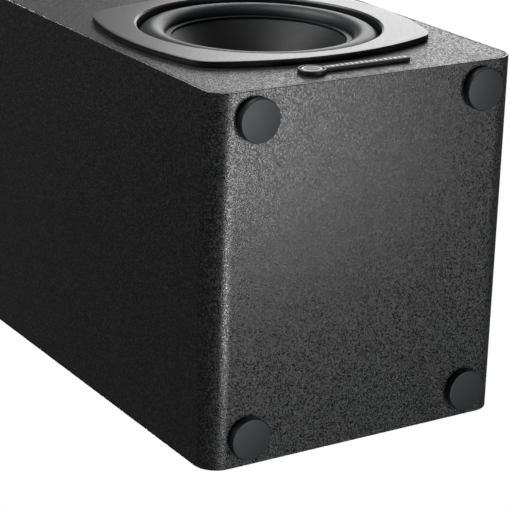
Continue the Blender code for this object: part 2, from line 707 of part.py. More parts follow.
def build_inlet(rear):
    """A two-pin appliance inlet with an open socket."""
    place = (MAINS_X, INLET_HEIGHT, 0.0)
    flange_top = ON_PLATE + 1.5 * MM
    flange = rounded_rectangle(25.0 * MM, 15.0 * MM, 2.0 * MM, 2)
    body = add_piece("power_inlet", slab(flange, ON_PLATE, flange_top), "black_plastic", rear, place)
    join(body, block((20.4 * MM, 11.4 * MM), -13.0 * MM, ON_PLATE + MM), rear, place)
    socket = rounded_rectangle(16.8 * MM, 8.2 * MM, 4.0 * MM, 5)
    cut(body, slab(socket, -7.0 * MM, flange_top + MM), rear, place)
    pin = [
        (0.0, -10.0 * MM),
        (1.2 * MM, -10.0 * MM),
        (1.2 * MM, 2.6 * MM),
        (0.7 * MM, 3.4 * MM),
        (0.0, 3.4 * MM),
    ]
    for side, sign in (("left", -1), ("right", 1)):
        pin_place = (MAINS_X + sign * PIN_SPACING / 2, INLET_HEIGHT, 0.0)
        cut(body, disc(1.5 * MM, -10.3 * MM, -6.0 * MM, 8), rear, pin_place)
        add_piece(f"inlet_pin_{side}", turned(pin, 8), "brass_plating", rear, pin_place)


def build_jack(rear, side, x, colour):
    """A phono input: a plated shell with a nut-like flange, and a coloured insert inside it."""
    place = (x, JACK_HEIGHT, 0.0)
    shell = [
        (0.0, BOARD_FRONT + GAP),
        (4.0 * MM, BOARD_FRONT + GAP),
        (4.0 * MM, ON_PLATE),
        (6.2 * MM, ON_PLATE),
        (6.2 * MM, ON_PLATE + 1.6 * MM),
        (4.2 * MM, ON_PLATE + 1.6 * MM),
        (4.2 * MM, 13.0 * MM),
        (3.4 * MM, 13.0 * MM),
        (3.4 * MM, -5.0 * MM),
        (0.0, -5.0 * MM),
    ]
    insert = [
        (1.6 * MM, -4.7 * MM),
        (3.1 * MM, -4.7 * MM),
        (3.1 * MM, 12.4 * MM),
        (1.6 * MM, 12.4 * MM),
    ]
    add_piece(f"input_shell_{side}", turned(shell, 16), "brass_plating", rear, place)
    add_piece(f"input_insert_{side}", turned(insert, 16), colour, rear, place)


def build_electronics(rear):
    """Circuit board, capacitors, transformer with its bolt, and the light's lens."""
    board = block((116.0 * MM, 74.0 * MM), BOARD_BACK, BOARD_FRONT)
    add_piece("circuit_board", board, "circuit_board", rear, (0.0, BOARD_CENTRE, 0.0))

    can = [
        (0.0, BOARD_BACK - GAP - 28.0 * MM),
        (9.0 * MM, BOARD_BACK - GAP - 28.0 * MM),
        (9.0 * MM, BOARD_BACK - GAP),
        (0.0, BOARD_BACK - GAP),
    ]
    for number, x in enumerate((-24.0 * MM, 4.0 * MM), 1):
        add_piece(f"capacitor_{number}", turned(can, 20), "black_aluminium", rear, (x, 140.0 * MM, 0.0))

    place = (TRANSFORMER_X, TRANSFORMER_HEIGHT, 0.0)
    edge = 4.0 * MM
    inner, outer = 11.0 * MM, 27.0 * MM
    low, high = -27.0 * MM, PLATE_BACK - 2 * GAP
    core = [
        (inner, low + edge),
        (inner + edge, low),
        (outer - edge, low),
        (outer, low + edge),
        (outer, high - edge),
        (outer - edge, high),
        (inner + edge, high),
        (inner, high - edge),
    ]
    add_piece("transformer", turned(core, 24), "copper_coil", rear, place)
    bolt = [
        (0.0, low - 6.0 * MM),
        (2.5 * MM, low - 6.0 * MM),
        (2.5 * MM, low - 2.4 * MM),
        (19.0 * MM, low - 2.4 * MM),
        (19.0 * MM, low - 1.0 * MM),
        (2.5 * MM, low - 1.0 * MM),
        (2.5 * MM, ON_PLATE),
        (5.0 * MM, ON_PLATE),
        (5.0 * MM, ON_PLATE + 3.0 * MM),
        (0.0, ON_PLATE + 3.0 * MM),
    ]
    add_piece("transformer_bolt", turned(bolt, 16), "bare_steel", rear, place)

    lens = [
        (0.0, -4.0 * MM),
        (1.5 * MM, -4.0 * MM),
        (1.5 * MM, ON_PLATE + 0.6 * MM),
        (1.0 * MM, ON_PLATE + 1.3 * MM),
        (0.0, ON_PLATE + 1.6 * MM),
    ]
    add_piece("light_lens", turned(lens, 10), "clear_plastic", rear, (LIGHT_X, JACK_HEIGHT, 0.0))


def smooth_route(points, count):
    """Points along a smooth curve through a route's own points (Catmull-Rom)."""
    ends = [2 * points[0] - points[1]] + points + [2 * points[-1] - points[-2]]
    spans = len(points) - 1
    route = []
    for step in range(count + 1):
        place = step / count * spans
        span = min(int(place), spans - 1)
        t = place - span
        a, b, c, d = ends[span : span + 4]
        bend = (2 * a - 5 * b + 4 * c - d) * t**2 + (3 * b - a - 3 * c + d) * t**3
        route.append(0.5 * (2 * b + (c - a) * t + bend))
    return route


def build_leads(base):
    """Two insulated leads from the terminal strip back to the circuit board."""
    start_y = FRONT_Y + 30.0 * MM + GAP
    end_y = REAR_Y + BOARD_BACK - GAP
    top = DRIVER_HEIGHT + 67.7 * MM
    for name, side, finish in (("lead_positive", 1, "red_plastic"), ("lead_negative", -1, "black_plastic")):
        x = 6.0 * MM * side
        points = [
            Vector((x, start_y, top)),
            Vector((x, start_y + 12.0 * MM, top)),
            Vector((x * 1.3, -40.0 * MM, top - 3.0 * MM)),
            Vector((x * 1.6, 10.0 * MM, top - 9.0 * MM)),
            Vector((x * 1.4, end_y - 14.0 * MM, top - 14.0 * MM)),
            Vector((x * 1.4, end_y, top - 14.0 * MM)),
        ]
        route = smooth_route(points, 24)
        curve = bpy.data.curves.new(name, "CURVE")
        curve.dimensions = "3D"
        curve.bevel_depth = 1.2 * MM
        curve.bevel_resolution = 2
        curve.use_fill_caps = True
        spline = curve.splines.new("POLY")
        spline.points.add(len(route) - 1)
        for point, place in zip(spline.points, route):
            point.co = (*place, 1.0)
        curve.materials.append(bpy.data.materials[finish])
        lead = bpy.data.objects.new(name, curve)
        bpy.context.scene.collection.objects.link(lead)
        lead.parent = base


def main():
    """Builds every piece in its place."""
    clear_scene()
    for name in FINISHES:
        make_finish(name)
    base = add_frame("standing_surface", (0.0, 0.0, 0.0))
    front = add_frame("front_face", (0.0, FRONT_Y, 0.0), (math.pi / 2, 0.0, 0.0), base)
    rear = add_frame("rear_face", (0.0, REAR_Y, 0.0), (math.pi / 2, 0.0, math.pi), base)
    driver = add_frame("driver_axis", (0.0, DRIVER_HEIGHT, 0.0), parent=front)
    build_cabinet(front)
    build_rear_panel(rear)
    build_feet(base)
    build_trim(driver)
    build_badge(front)
    build_port(front)
    build_driver_frame(driver)
    build_driver_motion(driver)
    build_amplifier_plate(rear)
    build_control(rear, "level", LEVEL_X)
    build_control(rear, "crossover", CROSSOVER_X)
    build_phase_switch(rear)
    build_power_switch(rear)
    build_inlet(rear)
    build_jack(rear, "left", JACK_LEFT_X, "white_plastic")
    build_jack(rear, "right", JACK_RIGHT_X, "red_plastic")
    build_electronics(rear)
    build_leads(base)


main()
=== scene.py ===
"""The looks of a compact ported powered subwoofer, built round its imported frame.

Lengths are in metres in the row frame: +Z up, with the front baffle facing -Y. Each sub-assembly is
a class whose fields are its sizes. Each finish is a frozen dataclass that makes one material. Shapes
are grids of points worked out with numpy: a section carried round a loop, or a profile turned
about an axis.
"""

import json
import logging
import math
from dataclasses import dataclass, field, replace
from enum import Enum
from typing import Optional, Sequence

import bmesh
import bpy
import numpy as np
from mathutils import Matrix, Vector


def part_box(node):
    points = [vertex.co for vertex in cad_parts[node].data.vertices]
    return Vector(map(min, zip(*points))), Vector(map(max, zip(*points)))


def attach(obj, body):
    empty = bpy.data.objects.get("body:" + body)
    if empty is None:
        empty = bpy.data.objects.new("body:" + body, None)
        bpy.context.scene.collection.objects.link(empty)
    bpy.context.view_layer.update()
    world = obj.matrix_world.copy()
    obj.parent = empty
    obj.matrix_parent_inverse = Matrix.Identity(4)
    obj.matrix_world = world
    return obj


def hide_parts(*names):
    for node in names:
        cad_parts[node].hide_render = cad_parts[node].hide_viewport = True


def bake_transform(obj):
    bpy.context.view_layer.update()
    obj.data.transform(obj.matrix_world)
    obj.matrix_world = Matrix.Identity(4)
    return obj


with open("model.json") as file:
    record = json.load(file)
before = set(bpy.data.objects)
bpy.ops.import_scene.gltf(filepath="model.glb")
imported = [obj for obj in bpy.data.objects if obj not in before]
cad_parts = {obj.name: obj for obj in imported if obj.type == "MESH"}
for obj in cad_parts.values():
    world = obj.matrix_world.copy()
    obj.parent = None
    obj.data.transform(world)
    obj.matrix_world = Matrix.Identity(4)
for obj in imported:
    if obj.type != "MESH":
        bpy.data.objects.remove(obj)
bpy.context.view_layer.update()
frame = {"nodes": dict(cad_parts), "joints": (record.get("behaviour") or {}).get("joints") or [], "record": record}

MM = 0.001
MERGE = 1e-6
log = logging.getLogger("subwoofer")

Tree = bpy.types.NodeTree
Output = bpy.types.NodeSocket
Pattern = tuple[Output, Output, Output]
Corners = Sequence[Sequence[float]]


# ---------------------------------------------------------------------------------------------
# Frames, loops and profiles


class Body(Enum):
    """The rigid bodies of the frame."""

    CABINET = "cabinet"
    CONE = "cone"
    LEVEL = "level_control"
    CROSSOVER = "crossover_control"
    PHASE = "phase_lever"
    POWER = "power_rocker"


class Axis(Enum):
    """A direction of the row frame."""

    X = "X"
    Y = "Y"
    Z = "Z"


class Slot(Enum):
    """The material slots of the record, and two finishes that stand in for a slot on one piece."""

    VINYL_WRAPPED_BOARD = "vinyl_wrapped_board"
    SATIN_TRIM = "satin_trim"
    RUBBER = "rubber"
    COATED_PAPER = "coated_paper"
    BOARD_WOOD = "board_wood"
    WADDING = "wadding"
    BLACK_PLASTIC = "black_plastic"
    CLEAR_PLASTIC = "clear_plastic"
    PAINTED_STEEL = "painted_steel"
    BARE_STEEL = "bare_steel"
    BLACK_ALUMINIUM = "black_aluminium"
    COPPER_COIL = "copper_coil"
    FERRITE = "ferrite"
    SPIDER_CLOTH = "spider_cloth"
    CIRCUIT_BOARD = "circuit_board"
    BRASS_PLATING = "brass_plating"
    RED_PLASTIC = "red_plastic"
    WHITE_PLASTIC = "white_plastic"
    FOAM = "foam"
    BAFFLE_WRAP = "baffle_wrap"
    SILVER_INK = "silver_ink"


@dataclass(frozen=True)
class Face:
    """A flat face that carries pieces: its origin, two directions along it and one out of it."""

    origin: tuple[float, float, float]
    across: tuple[float, float, float]
    upward: tuple[float, float, float]
    outward: tuple[float, float, float]

    def place(self, points: np.ndarray) -> np.ndarray:
        """Takes points of the face into the row frame: origin + x across + y upward + z outward.

        Args:
            points: local points, shape (..., 3).

        Returns:
            The same points in the row frame.
        """
        return np.array(self.origin) + points @ np.array([self.across, self.upward, self.outward])

    def at(self, x: float, y: float, z: float = 0.0) -> "Face":
        """The same face with its origin moved to a local point."""
        return replace(self, origin=tuple(self.place(np.array([x, y, z]))))

    def local(self, point: Sequence[float]) -> np.ndarray:
        """A point of the row frame as this face measures it."""
        axes = np.array([self.across, self.upward, self.outward])
        return axes @ (np.array(point) - np.array(self.origin))


def centre_of(node: str) -> np.ndarray:
    """The middle of a CAD node's box."""
    low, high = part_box(node)
    return (np.array(low) + np.array(high)) / 2


def points_of(mesh: bpy.types.Mesh) -> np.ndarray:
    """A mesh's points.

    Args:
        mesh: the mesh.

    Returns:
        The points, shape (n, 3).
    """
    points = np.empty(len(mesh.vertices) * 3, np.float32)
    mesh.vertices.foreach_get("co", points)
    return points.reshape(-1, 3)


def front_face() -> Face:
    """The baffle's front, seen from outside, with its origin on the standing surface."""
    return Face((0.0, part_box("front_baffle")[0].y, 0.0), (1, 0, 0), (0, 0, 1), (0, -1, 0))


def rear_face() -> Face:
    """The rear panel's back, seen from outside, with its origin on the standing surface."""
    return Face((0.0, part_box("rear_panel")[1].y, 0.0), (-1, 0, 0), (0, 0, 1), (0, 1, 0))


def filleted(corners: Corners, closed: bool = False, steps: int = 6) -> np.ndarray:
    """A line through corners, each rounded by an arc that touches both of its runs.

    With a and b the unit directions from a corner to its neighbours, the arc starts at
    radius / tan(half angle) along a, ends as far along b, and turns about the point that lies
    radius / sin(half angle) along a + b. It works for points of any number of dimensions.

    Args:
        corners: points, each followed by its fillet radius.
        closed: whether the last corner runs back to the first.
        steps: spans on each arc.

    Returns:
        The rounded line's points, one row each.
    """
    table = np.array(corners, float)
    points, radii = table[:, :-1], table[:, -1:]
    before = np.roll(points, 1, axis=0) - points
    after = np.roll(points, -1, axis=0) - points
    tiny = 1e-12
    reach_before = np.linalg.norm(before, axis=1, keepdims=True) + tiny
    reach_after = np.linalg.norm(after, axis=1, keepdims=True) + tiny
    a, b = before / reach_before, after / reach_after
    cosine = np.clip((a * b).sum(axis=1, keepdims=True), -0.99999, 0.99999)
    half = np.arccos(cosine) / 2
    tangent = np.minimum(radii / np.tan(half), 0.49 * np.minimum(reach_before, reach_after))
    radius = tangent * np.tan(half)
    middle = (a + b) / np.linalg.norm(a + b, axis=1, keepdims=True)
    centre = points + middle * radius / np.sin(half)
    start, end = points + a * tangent - centre, points + b * tangent - centre
    turn = (math.pi - 2 * half)[:, None, :]
    share = np.linspace(0.0, 1.0, steps + 1)[None, :, None]
    arcs = (np.sin((1 - share) * turn) * start[:, None] + np.sin(share * turn) * end[:, None]) / np.sin(turn)
    line = centre[:, None] + arcs
    if not closed:
        line[0], line[-1] = points[0], points[-1]
    return line.reshape(-1, points.shape[1])


def rounded_loops(rows: np.ndarray, steps: int = 10) -> np.ndarray:
    """Rounded rectangles, one for each row of (width, height, corner radius, place out of the face).

    A corner's points are its centre plus the radius along directions that turn a quarter circle.

    Args:
        rows: the rows, shape (n, 4).
        steps: spans on each corner.

    Returns:
        A grid of local points, shape (n, 4 * (steps + 1), 3).
    """
    quarter = np.linspace(0.0, math.pi / 2, steps + 1)
    turns = (np.arange(4)[:, None] * math.pi / 2 + quarter[None, :]).ravel()
    sides = np.repeat([[1, 1], [-1, 1], [-1, -1], [1, -1]], steps + 1, axis=0)
    half = rows[:, None, :2] / 2
    radius = np.clip(rows[:, None, 2:3], 0.0, half.min(axis=2, keepdims=True))
    flat = sides * (half - radius) + radius * np.stack([np.cos(turns), np.sin(turns)], axis=1)
    height = np.broadcast_to(rows[:, None, 3:], flat.shape[:2] + (1,))
    return np.concatenate([flat, height], axis=2)


def inset_rows(width: float, height: float, radius: float, section: np.ndarray) -> np.ndarray:
    """Rows for rounded_loops from a section that is carried round an outline.

    Args:
        width: the outline's width.
        height: its height.
        radius: its corner radius.
        section: points of (inset from the outline, place out of the face).

    Returns:
        The rows, shape (n, 4).
    """
    inset = section[:, 0]
    return np.stack([width - 2 * inset, height - 2 * inset, radius - inset, section[:, 1]], axis=1)


def carried(section: np.ndarray, stations: np.ndarray, scale: np.ndarray) -> np.ndarray:
    """A closed section carried up a face.

    Args:
        section: points of (place across the face, place out of it).
        stations: how far up the face each copy lies.
        scale: the size of each copy.

    Returns:
        A grid of local points, shape (stations, points, 3).
    """
    flat = section[None] * scale[:, None, None]
    upward = np.broadcast_to(stations[:, None], flat.shape[:2])
    return np.stack([flat[:, :, 0], upward, flat[:, :, 1]], axis=2)


def round_turn(segments: int) -> np.ndarray:
    """The angles of points set evenly round a full turn."""
    return np.linspace(0.0, 2 * math.pi, segments, endpoint=False)


def turned(profile: np.ndarray, segments: int = 96, lobes: Optional[np.ndarray] = None) -> np.ndarray:
    """A profile of (radius, height) turned about the outward axis: (r cos t, r sin t, height).

    Args:
        profile: the profile's points, shape (n, 2).
        segments: points round the axis.
        lobes: factors on the radius, shape (n, segments), for shapes that are not round.

    Returns:
        A grid of local points, shape (n, segments, 3).
    """
    angle = round_turn(segments)
    radius = profile[:, :1] * (np.ones((1, segments)) if lobes is None else lobes)
    height = np.broadcast_to(profile[:, 1:], radius.shape)
    return np.stack([radius * np.cos(angle), radius * np.sin(angle), height], axis=2)


def hexagon(segments: int) -> np.ndarray:
    """How much further than its flats a six-sided outline reaches at each angle: 1 / cos."""
    return 1 / np.cos((round_turn(segments) + math.pi / 6) % (math.pi / 3) - math.pi / 6)


@dataclass(frozen=True)
class Lobes:
    """Factors on the radius of those rows of a turned profile that are not round."""

    factors: np.ndarray
    radii: tuple[float, float] = (0.0, math.inf)
    above: float = -math.inf

    def of(self, profile: np.ndarray) -> np.ndarray:
        """The factors of each row, which are 1 outside the radii and up to the height.

        Args:
            profile: points of (radius, height).

        Returns:
            Factors, shape (n, segments).
        """
        radius, height = profile[:, :1], profile[:, 1:]
        picked = (radius >= self.radii[0]) & (radius < self.radii[1]) & (height > self.above)
        return np.where(picked, self.factors, 1.0)


def grid_faces(rows: int, columns: int, close_rows: bool) -> np.ndarray:
    """Corner numbers of the four-sided faces of a grid whose last column joins its first.

    Args:
        rows: how many rows it has.
        columns: how many columns it has.
        close_rows: whether the last row joins the first.

    Returns:
        Four corner numbers for each face, shape (n, 4).
    """
    row = np.arange(rows if close_rows else rows - 1)[:, None]
    column = np.arange(columns)[None, :]
    next_row, next_column = (row + 1) % rows, (column + 1) % columns
    corners = (
        row * columns + column,
        row * columns + next_column,
        next_row * columns + next_column,
        next_row * columns + column,
    )
    return np.stack(corners, axis=2).reshape(-1, 4)


# ---------------------------------------------------------------------------------------------
# Finishes


def linear(colour: str) -> tuple[float, float, float, float]:
    """An sRGB hex colour in linear light.

    Args:
        colour: the colour, as #RRGGBB.

    Returns:
        Red, green, blue and alpha.
    """
    parts = np.array([int(colour[i : i + 2], 16) for i in (1, 3, 5)]) / 255
    bright = np.where(parts <= 0.04045, parts / 12.92, ((parts + 0.055) / 1.055) ** 2.4)
    return (*bright.tolist(), 1.0)


def add_node(
    tree: Tree, kind: str, settings: Optional[dict] = None, links: Optional[dict] = None
) -> bpy.types.Node:
    """Adds a shader node.

    Args:
        tree: the material's or world's node tree.
        kind: the node's type name.
        settings: attribute values.
        links: for each input, a value or the output that feeds it.

    Returns:
        The new node.
    """
    node = tree.nodes.new(kind)
    for key, value in (settings or {}).items():
        setattr(node, key, value)
    for key, value in (links or {}).items():
        if isinstance(value, Output):
            tree.links.new(value, node.inputs[key])
        else:
            node.inputs[key].default_value = value
    return node


@dataclass(frozen=True)
class Finish:
    """One real material and how its surface was made.

    The base class gives fine moulding grain: a bump and a small change of roughness and colour.
    Grain and depth are real sizes, and spread is how far the roughness strays to either side.
    """

    name: str
    colour: str
    second: str
    roughness: float
    grain: float = 0.6 * MM
    depth: float = 0.03 * MM
    spread: float = 0.08
    metallic: float = 0.0
    specular: float = 0.5

    def noise(self, tree: Tree, size: float, detail: float, where: Output) -> Output:
        """Cloudy noise with lumps of a real size, from 0 to 1."""
        links = {"Vector": where, "Scale": 1.0 / size, "Detail": detail, "Roughness": 0.55}
        return add_node(tree, "ShaderNodeTexNoise", None, links).outputs["Fac"]

    def bands(self, tree: Tree, width: float, wobble: float, axis: Axis, where: Output) -> Output:
        """Rounded bands, one width apart along an axis. The wave's own scale is pi / 10 for each."""
        links = {"Vector": where, "Scale": math.pi / (10 * width), "Distortion": wobble}
        return add_node(tree, "ShaderNodeTexWave", {"bands_direction": axis.value}, links).outputs["Fac"]

    def remap(self, tree: Tree, value: Output, low: float, high: float, start: float, end: float) -> Output:
        """A value taken from one range to another, and held at its ends."""
        links = {"Value": value, "From Min": low, "From Max": high, "To Min": start, "To Max": end}
        return add_node(tree, "ShaderNodeMapRange", None, links).outputs["Result"]

    def stretched(self, tree: Tree, scale: Sequence[float], where: Output) -> Output:
        """Coordinates stretched along the axes, for brushed or fibrous patterns."""
        return add_node(tree, "ShaderNodeMapping", None, {"Vector": where, "Scale": scale}).outputs["Vector"]

    def pattern(self, tree: Tree, where: Output) -> Pattern:
        """Fine grain for the roughness and height, and clouds forty times as wide for the colour."""
        grain = self.noise(tree, self.grain, 2.0, where)
        return self.noise(tree, 40 * self.grain, 2.0, where), grain, grain

    def material(self) -> bpy.types.Material:
        """Builds the material.

        Returns:
            A material whose pattern reads Object coordinates in metres.
        """
        material = bpy.data.materials.new(self.name)
        material.use_nodes = True
        tree = material.node_tree
        shader = tree.nodes["Principled BSDF"]
        where = add_node(tree, "ShaderNodeTexCoord").outputs["Object"]
        share, rough, height = self.pattern(tree, where)
        mixed = {0: share, 6: linear(self.colour), 7: linear(self.second)}
        colour = add_node(tree, "ShaderNodeMix", {"data_type": "RGBA"}, mixed).outputs[2]
        tree.links.new(colour, shader.inputs["Base Color"])
        low, high = self.roughness - self.spread, self.roughness + self.spread
        tree.links.new(self.remap(tree, rough, 0.25, 0.75, low, high), shader.inputs["Roughness"])
        shader.inputs["Metallic"].default_value = self.metallic
        if not self.metallic:
            shader.inputs["Specular IOR Level"].default_value = self.specular
        bump = {"Height": height, "Distance": self.depth, "Strength": 1.0}
        normal = add_node(tree, "ShaderNodeBump", None, bump).outputs["Normal"]
        tree.links.new(normal, shader.inputs["Normal"])
        self.extra(shader)
        material.diffuse_color = linear(self.colour)
        return material

    def extra(self, shader: bpy.types.Node) -> None:
        """Sets what only some finishes have, such as a sheen. Here there is nothing."""


@dataclass(frozen=True)
class EmbossedVinyl(Finish):
    """PVC film rolled with a grit pattern: small raised beads that catch the light one by one."""

    bead: float = 0.6 * MM

    def pattern(self, tree: Tree, where: Output) -> Pattern:
        """Beads are the cells of a Voronoi pattern, high in the middle; some are paler than others.

        Args:
            tree: the material's node tree.
            where: the coordinates.

        Returns:
            The share of the second colour, the roughness and the height, each from 0 to 1.
        """
        cells = add_node(tree, "ShaderNodeTexVoronoi", None, {"Vector": where, "Scale": 1.0 / self.bead})
        tone = add_node(tree, "ShaderNodeSeparateColor", None, {0: cells.outputs["Color"]})
        pale = self.remap(tree, tone.outputs["Red"], 0.55, 1.0, 0.0, 1.0)
        return pale, tone.outputs["Green"], self.remap(tree, cells.outputs["Distance"], 0.0, 0.7, 1.0, 0.0)


@dataclass(frozen=True)
class BrushedMetal(Finish):
    """Metal with fine lines from drawing, brushing or turning, long where the stretch is small."""

    metallic: float = 1.0
    stretch: tuple[float, float, float] = (1.0, 0.1, 1.0)

    def pattern(self, tree: Tree, where: Output) -> Pattern:
        """Noise drawn out along the lines gives the streaks, in colour, roughness and height alike."""
        lines = self.noise(tree, self.grain, 3.0, self.stretched(tree, self.stretch, where))
        return lines, lines, lines


@dataclass(frozen=True)
class Winding(Finish):
    """Enamelled wire wound in even turns: fine bands with a copper gleam."""

    turn: float = 0.9 * MM

    def pattern(self, tree: Tree, where: Output) -> Pattern:
        """Bands one wire apart, rounded like the wire."""
        wires = self.bands(tree, self.turn, 0.4, Axis.Z, where)
        return wires, self.noise(tree, 4 * self.turn, 2.0, where), wires


@dataclass(frozen=True)
class Cloth(Finish):
    """Woven or felted fibre: two sets of threads and a soft sheen of loose ends."""

    thread: float = 0.8 * MM
    sheen: float = 0.3

    def pattern(self, tree: Tree, where: Output) -> Pattern:
        """The product of two rows of bands gives over-and-under threads.

        Args:
            tree: the material's node tree.
            where: the coordinates.

        Returns:
            The share of the second colour, the roughness and the height, each from 0 to 1.
        """
        across, upward = (self.bands(tree, self.thread, 1.5, axis, where) for axis in (Axis.X, Axis.Z))
        weave = add_node(tree, "ShaderNodeMath", {"operation": "MULTIPLY"}, {0: across, 1: upward}).outputs[0]
        return weave, self.noise(tree, 6 * self.thread, 3.0, where), weave

    def extra(self, shader: bpy.types.Node) -> None:
        """Loose fibre ends give a pale sheen at the edges."""
        shader.inputs["Sheen Weight"].default_value = self.sheen
        shader.inputs["Sheen Roughness"].default_value = 0.6


@dataclass(frozen=True)
class Lens(Finish):
    """Clear tinted acrylic, which shows the light behind it."""

    def extra(self, shader: bpy.types.Node) -> None:
        """Most of the light goes through."""
        shader.inputs["Transmission Weight"].default_value = 0.7
        shader.inputs["IOR"].default_value = 1.49


@dataclass(frozen=True)
class CircuitLaminate(Finish):
    """Glass-fibre laminate under green solder mask: paler lines where copper tracks run beneath."""

    block: float = 5.0 * MM

    def pattern(self, tree: Tree, where: Output) -> Pattern:
        """Square cells thresholded into blocks of track and gap.

        Args:
            tree: the material's node tree.
            where: the coordinates.

        Returns:
            The share of the second colour, the roughness and the height, each from 0 to 1.
        """
        links = {"Vector": where, "Scale": 1.0 / self.block, "Randomness": 0.6}
        cells = add_node(tree, "ShaderNodeTexVoronoi", {"distance": "CHEBYCHEV"}, links)
        track = self.remap(tree, cells.outputs["Distance"], 0.30, 0.34, 1.0, 0.0)
        return track, self.noise(tree, self.grain, 2.0, where), track


@dataclass(frozen=True)
class Fibreboard(Finish):
    """Pressed wood fibre: fine flecks that lie along the panel."""

    def pattern(self, tree: Tree, where: Output) -> Pattern:
        """Flecks are noise squeezed in one direction."""
        flecks = self.noise(tree, self.grain, 4.0, self.stretched(tree, (0.35, 1.0, 1.0), where))
        return self.remap(tree, flecks, 0.35, 0.7, 0.0, 1.0), flecks, flecks


FINISHES: dict[Slot, Finish] = {
    # PVC wrap on board: a dry, gritty black with pale specks. The beads are drawn a little coarse.
    Slot.VINYL_WRAPPED_BOARD: EmbossedVinyl(
        "embossed_vinyl_wrap", "#0E0F10", "#404142", 0.34,
        depth=0.06 * MM, spread=0.20, specular=0.6, bead=0.65 * MM,
    ),
    # The same film pressed flatter on the baffle: wider, quieter specks.
    Slot.BAFFLE_WRAP: EmbossedVinyl(
        "flat_vinyl_wrap", "#141516", "#303132", 0.50,
        depth=0.02 * MM, spread=0.20, specular=0.40, bead=0.75 * MM,
    ),
    # Moulded ABS with an etched satin skin: an even, soft gloss.
    Slot.SATIN_TRIM: Finish("satin_abs", "#1B1C1E", "#222325", 0.36, 0.5 * MM, 0.006 * MM),
    # Butyl rubber: deep black with a wide, weak highlight.
    Slot.RUBBER: Finish("butyl_rubber", "#1A1D1F", "#212527", 0.45, 0.7 * MM, 0.02 * MM, specular=0.34),
    # Paper pulp under a plastic coat: faint fibre clouds in a satin black.
    Slot.COATED_PAPER: Finish(
        "coated_paper_cone", "#141516", "#1F2021", 0.50, 1.2 * MM, 0.02 * MM, specular=0.26
    ),
    # Bare medium-density board: a dry tan with darker flecks.
    Slot.BOARD_WOOD: Fibreboard("medium_fibreboard", "#A98A63", "#7E6343", 0.85, 0.8 * MM, 0.05 * MM),
    # Needled polyester: off-white, matt, with a woolly edge. Its tufts are drawn coarser than its fibres.
    Slot.WADDING: Cloth(
        "polyester_wadding", "#DADAD6", "#BEBEB9", 0.95, depth=0.5 * MM, thread=2.5 * MM, sheen=0.5
    ),
    # Moulded ABS with a spark-eroded texture: dull black with tiny glints.
    Slot.BLACK_PLASTIC: Finish("textured_abs", "#161718", "#1F2021", 0.48, 0.5 * MM, 0.02 * MM),
    # Tinted acrylic: a small green glow with a hard highlight.
    Slot.CLEAR_PLASTIC: Lens("tinted_acrylic", "#58D46C", "#7BE58B", 0.15, depth=0.002 * MM, spread=0.03),
    # Polyester powder coat on steel: black with a slight orange peel.
    Slot.PAINTED_STEEL: Finish("powder_coat", "#191A1C", "#202123", 0.42, 0.9 * MM, 0.03 * MM),
    # Zinc-plated steel: cool grey with fine turning lines.
    Slot.BARE_STEEL: BrushedMetal("zinc_plated_steel", "#B9BABB", "#9FA1A4", 0.34, 0.8 * MM, 0.004 * MM),
    # Black anodised extrusion: dark, with lines along the fins.
    Slot.BLACK_ALUMINIUM: BrushedMetal(
        "black_anodised_aluminium", "#2A2B2D", "#37383B", 0.40, 0.5 * MM, 0.008 * MM, stretch=(1.0, 1.0, 0.02)
    ),
    # Enamelled copper: a warm, lacquered gleam on each turn of wire.
    Slot.COPPER_COIL: Winding(
        "enamelled_copper_wire", "#8E4A22", "#C8783E", 0.35, depth=0.12 * MM, metallic=1.0
    ),
    # Sintered ferrite: charcoal grey, dry, with fine pits.
    Slot.FERRITE: Finish("sintered_ferrite", "#3A3B3C", "#484949", 0.72, 0.9 * MM, 0.05 * MM),
    # Cotton stiffened with phenolic resin: an open amber weave.
    Slot.SPIDER_CLOTH: Cloth("phenolic_cloth", "#B8863B", "#8F6426", 0.85, depth=0.12 * MM, thread=0.9 * MM),
    # Solder mask over glass fibre: glossy green, a shade paler over the copper.
    Slot.CIRCUIT_BOARD: CircuitLaminate("solder_mask_laminate", "#0F4A26", "#1B6A38", 0.35),
    # Plated brass: pale gold with turning lines.
    Slot.BRASS_PLATING: BrushedMetal("nickel_plated_brass", "#D9C48F", "#C4AE78", 0.26, 0.6 * MM, 0.003 * MM),
    # Moulded ABS inserts and wire sleeves: plain colours with a soft gloss.
    Slot.RED_PLASTIC: Finish("red_abs", "#A81418", "#8F1014", 0.40, depth=0.008 * MM),
    Slot.WHITE_PLASTIC: Finish("white_abs", "#DEDDD8", "#D2D1CB", 0.40, depth=0.008 * MM),
    # Metallic ink over a clear base: a satin silver with a soft grain.
    Slot.SILVER_INK: Finish("silver_ink", "#C6C7C8", "#ABACAE", 0.38, 0.4 * MM, 0.004 * MM),
    # Cellular polyurethane: dull charcoal, pocked, with no highlight.
    Slot.FOAM: Cloth(
        "open_cell_foam", "#26272A", "#141516", 0.95, depth=0.3 * MM, thread=0.7 * MM, sheen=0.2
    ),
}


# ---------------------------------------------------------------------------------------------
# Making pieces


@dataclass(frozen=True)
class Label:
    """What a piece is called and made of, what it rides on and which CAD nodes it stands for.

    An edge that turns by more than sharp, in degrees, stays crisp. A piece that lies between two
    bodies doesn't ride on one.
    """

    name: str
    slot: Slot
    body: Body = Body.CABINET
    replaces: tuple[str, ...] = ()
    sharp: float = 32.0
    ride: bool = True


